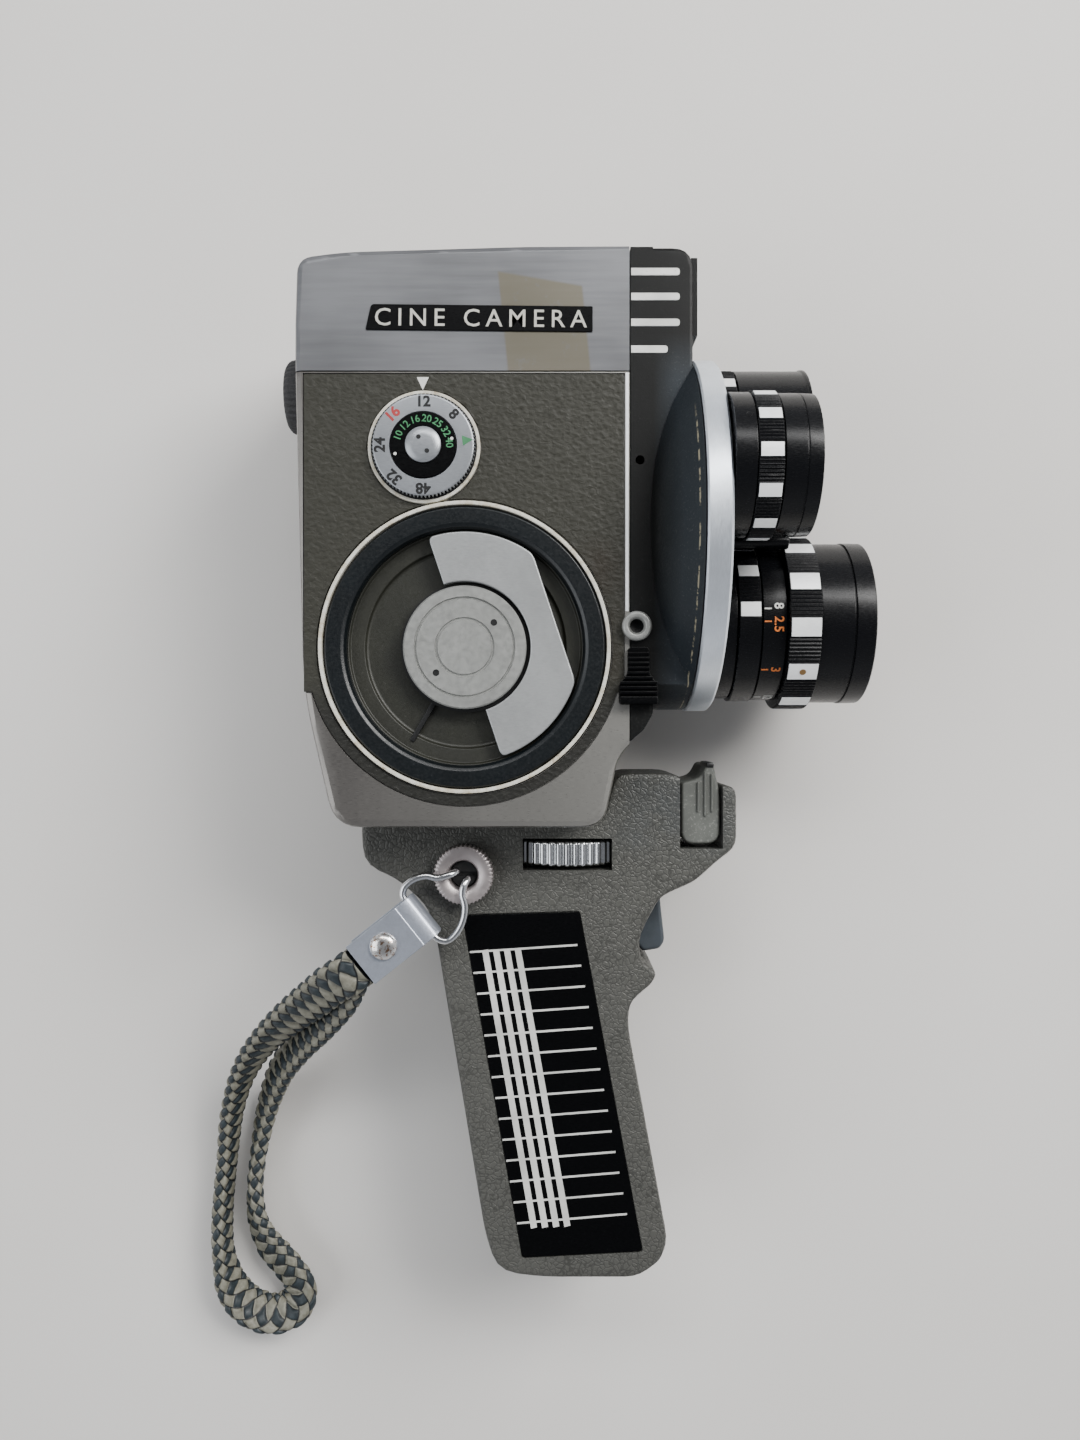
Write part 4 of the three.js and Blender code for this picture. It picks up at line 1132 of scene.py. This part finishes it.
# ---- Strap bolt, split ring and clasp ----
def make_strap_bolt():
    def knurled(radius, height, angle):
        if radius < 6.5 or height > 45.9:
            return radius
        return radius - 0.3 * (0.5 + 0.5 * math.cos(44 * angle))

    profile = [(3.3, 42.1), (6.9, 42.1), (6.9, 45.7), (6.5, 46.05), (5.6, 46.2), (3.8, 46.05), (3.3, 45.5)]
    add_piece("strap_bolt_knurled", turn(profile, "z", 440, knurled), "washer", "housing",
              ("strap_bolt",), 45, (*STRAP_BOLT, 0))


def make_split_ring():
    points = [(-18.9, -35, 44.6), (-19.2, -34.8, 46.2), (-20.6, -35.3, 47.3), (-23.4, -36, 47.3),
              (-26, -35.6, 47.1), (-28.7, -36.3, 47), (-30.9, -38.1, 46.9), (-31.3, -40.2, 46.9),
              (-29.2, -42.8, 46.9), (-25.8, -47.1, 46.9), (-23.6, -49.8, 46.9), (-21.2, -50.4, 47),
              (-19, -48.6, 47.2), (-17.5, -45.6, 47.3), (-17.1, -42.4, 47.3), (-17.7, -39.6, 47.3),
              (-17.3, -37.6, 47.1), (-16.6, -36.5, 46.2), (-16.6, -36.3, 44.6)]
    add_piece("split_ring_wire", wire_tube(points, 0.82), "chrome", "split_ring", ("split_ring",), 70)


def make_clasp():
    leaf = [(9.2, 51), (-4.6, 51), (-5, 50.75), (-5.4, 51), (-8, 50.7), (-9.1, 49.6), (-9.35, 48), (-9.3, 45.6),
            (-8.6, 43.8), (-6.5, 42.9), (9.2, 42.8), (9.2, 43.55), (-5.8, 43.65), (-7.7, 44.6), (-8.45, 46.2),
            (-8.4, 48), (-7.6, 49.4), (-5.8, 50.2), (9.2, 50.25)]
    half = 5.3
    bm = bmesh.new()
    side = [bm.verts.new((x, -half, z)) for x, z in leaf]
    face = bm.faces.new(side)
    grown = bmesh.ops.extrude_face_region(bm, geom=[face])
    far = [v for v in grown["geom"] if isinstance(v, bmesh.types.BMVert)]
    bmesh.ops.translate(bm, verts=far, vec=(0, 2 * half, 0))
    rims = [e for e in bm.edges if abs(e.verts[0].co.y - e.verts[1].co.y) < 1e-6]
    bmesh.ops.bevel(bm, geom=rims, offset=0.14, segments=2, profile=0.5, affect="EDGES")
    angle = math.atan2(-0.622, -0.783)
    frame_at = Matrix.Translation((-33.2, -49.55, 0)) @ Matrix.Rotation(angle, 4, "Z")
    add_piece("clasp_folded", moved(bm, frame_at), "clasp_steel", "clasp", ("clasp",))
    core = box((-3.4, -4.9, 43.7), (9, 4.9, 50.1), 0.7, frame_at)
    add_piece("clasp_strap_ends", core, "strap_dark", "clasp")
    rivet = [(0, 50.9), (3.15, 50.9), (3.15, 51.2), (2.9, 51.7), (2.3, 52.15), (1.3, 52.42), (0, 52.5)]
    place = frame_at @ Matrix.Translation((2.4, -0.2, 0))
    add_piece("clasp_rivet_dome", moved(turn(rivet, "z", 72), place), "rusted", "clasp",
              ("clasp_rivet",), 60)


make_body_fittings()
make_release_slider()
make_eyecup()
make_grip_panels()
make_trigger()
make_pusher()
make_clamp_wheel()
make_strap_bolt()
make_split_ring()
make_clasp()


# ---- CAD nodes that stay: material, soft edges and shading ----
NODE_LOOKS = {
    "body_silver": ["main_housing", "film_door"],
    "cover_silver": ["top_cover"],
    "ring_silver": ["turret_ring"],
    "chrome": ["film_gate"],
    "steel": ["mechanism_plate", "door_latch", "take_up_spindle", "supply_spindle",
              "pressure_plate", "tripod_screw"],
    "brass": ["tripod_bush", "mainspring_barrel"],
    "charcoal": ["front_casting"],
    "olive": ["meter_cell"],
    "leatherette": ["left_leatherette", "door_leatherette"],
    "hammertone": ["grip_left", "grip_right"],
    "matt_black": ["strap_screw", "finder_tube", "take_up_spool", "shutter"],
    "lens_black": ["turret_plate"],
    "glass": ["finder_window", "eyepiece_lens"],
    "honeycomb": ["meter_window"],
}
EDGE_SOFTNESS = {"grip_left": 0.8, "grip_right": 0.8, "front_casting": 0.35, "main_housing": 0.4,
                 "top_cover": 0.4}


def dress_cad_nodes():
    for material, names in NODE_LOOKS.items():
        for name in names:
            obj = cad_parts[name]
            paint(obj, material)
            weld = obj.modifiers.new("weld", "WELD")
            weld.merge_threshold = 2e-6
            soft = obj.modifiers.new("soft_edges", "BEVEL")
            soft.width = EDGE_SOFTNESS.get(name, 0.15) * MM
            soft.segments = 2
            soft.limit_method = "ANGLE"
            soft.angle_limit = math.radians(38)
            soft.use_clamp_overlap = True
            soft.harden_normals = False
            shade(obj, 180)
            obj.modifiers.new("even_shading", "WEIGHTED_NORMAL").keep_sharp = True


dress_cad_nodes()


# ---- Floor and light ----
LIGHT_TARGET = (0, 0, 0.03)


def add_floor():
    bm = bmesh.new()
    bmesh.ops.create_grid(bm, x_segments=8, y_segments=8, size=1.6)
    mesh = bpy.data.meshes.new("floor")
    bm.to_mesh(mesh)
    bm.free()
    floor = new_object("floor", mesh)
    m = Mat("floor_paper", (0.68, 0.66, 0.63), 0.9)
    tone = m.noise(180, 3, 0.5)
    m.color(m.ramp(tone, (0.3, (0.66, 0.64, 0.61)), (0.7, (0.72, 0.705, 0.68))))
    m.bump(m.noise(0.8, 3, 0.6), 0.02)
    mesh.materials.append(m.material)


def add_light(name, place, size, power, color=(1, 1, 1)):
    data = bpy.data.lights.new(name, "AREA")
    data.shape = "RECTANGLE"
    data.size, data.size_y = size
    data.energy = power
    data.color = color
    light = new_object(name, data)
    light.location = place
    light.rotation_euler = (Vector(LIGHT_TARGET) - Vector(place)).to_track_quat("-Z", "Y").to_euler()


def light_studio():
    world = bpy.data.worlds.new("soft_room")
    bpy.context.scene.world = world
    world.use_nodes = True
    nodes, links = world.node_tree.nodes, world.node_tree.links
    back = nodes["Background"]
    back.inputs["Strength"].default_value = 1
    direction = nodes.new("ShaderNodeTexCoord")
    split = nodes.new("ShaderNodeSeparateXYZ")
    sky = nodes.new("ShaderNodeValToRGB")
    sky.color_ramp.elements[0].position = 0.25
    sky.color_ramp.elements[0].color = (0.62, 0.63, 0.66, 1)
    sky.color_ramp.elements[1].position = 0.92
    sky.color_ramp.elements[1].color = (0.16, 0.165, 0.18, 1)
    links.new(direction.outputs["Generated"], split.inputs[0])
    links.new(split.outputs["Z"], sky.inputs["Fac"])
    links.new(sky.outputs["Color"], back.inputs["Color"])
    add_light("window", (0.7, 0.6, 0.85), (0.6, 0.6), 20, (1, 0.985, 0.965))
    add_light("fill", (-0.85, -0.1, 0.75), (0.8, 0.8), 6, (0.94, 0.97, 1))
    add_light("top_strip", (0, 0.75, 0.95), (0.9, 0.25), 6)


add_floor()
light_studio()
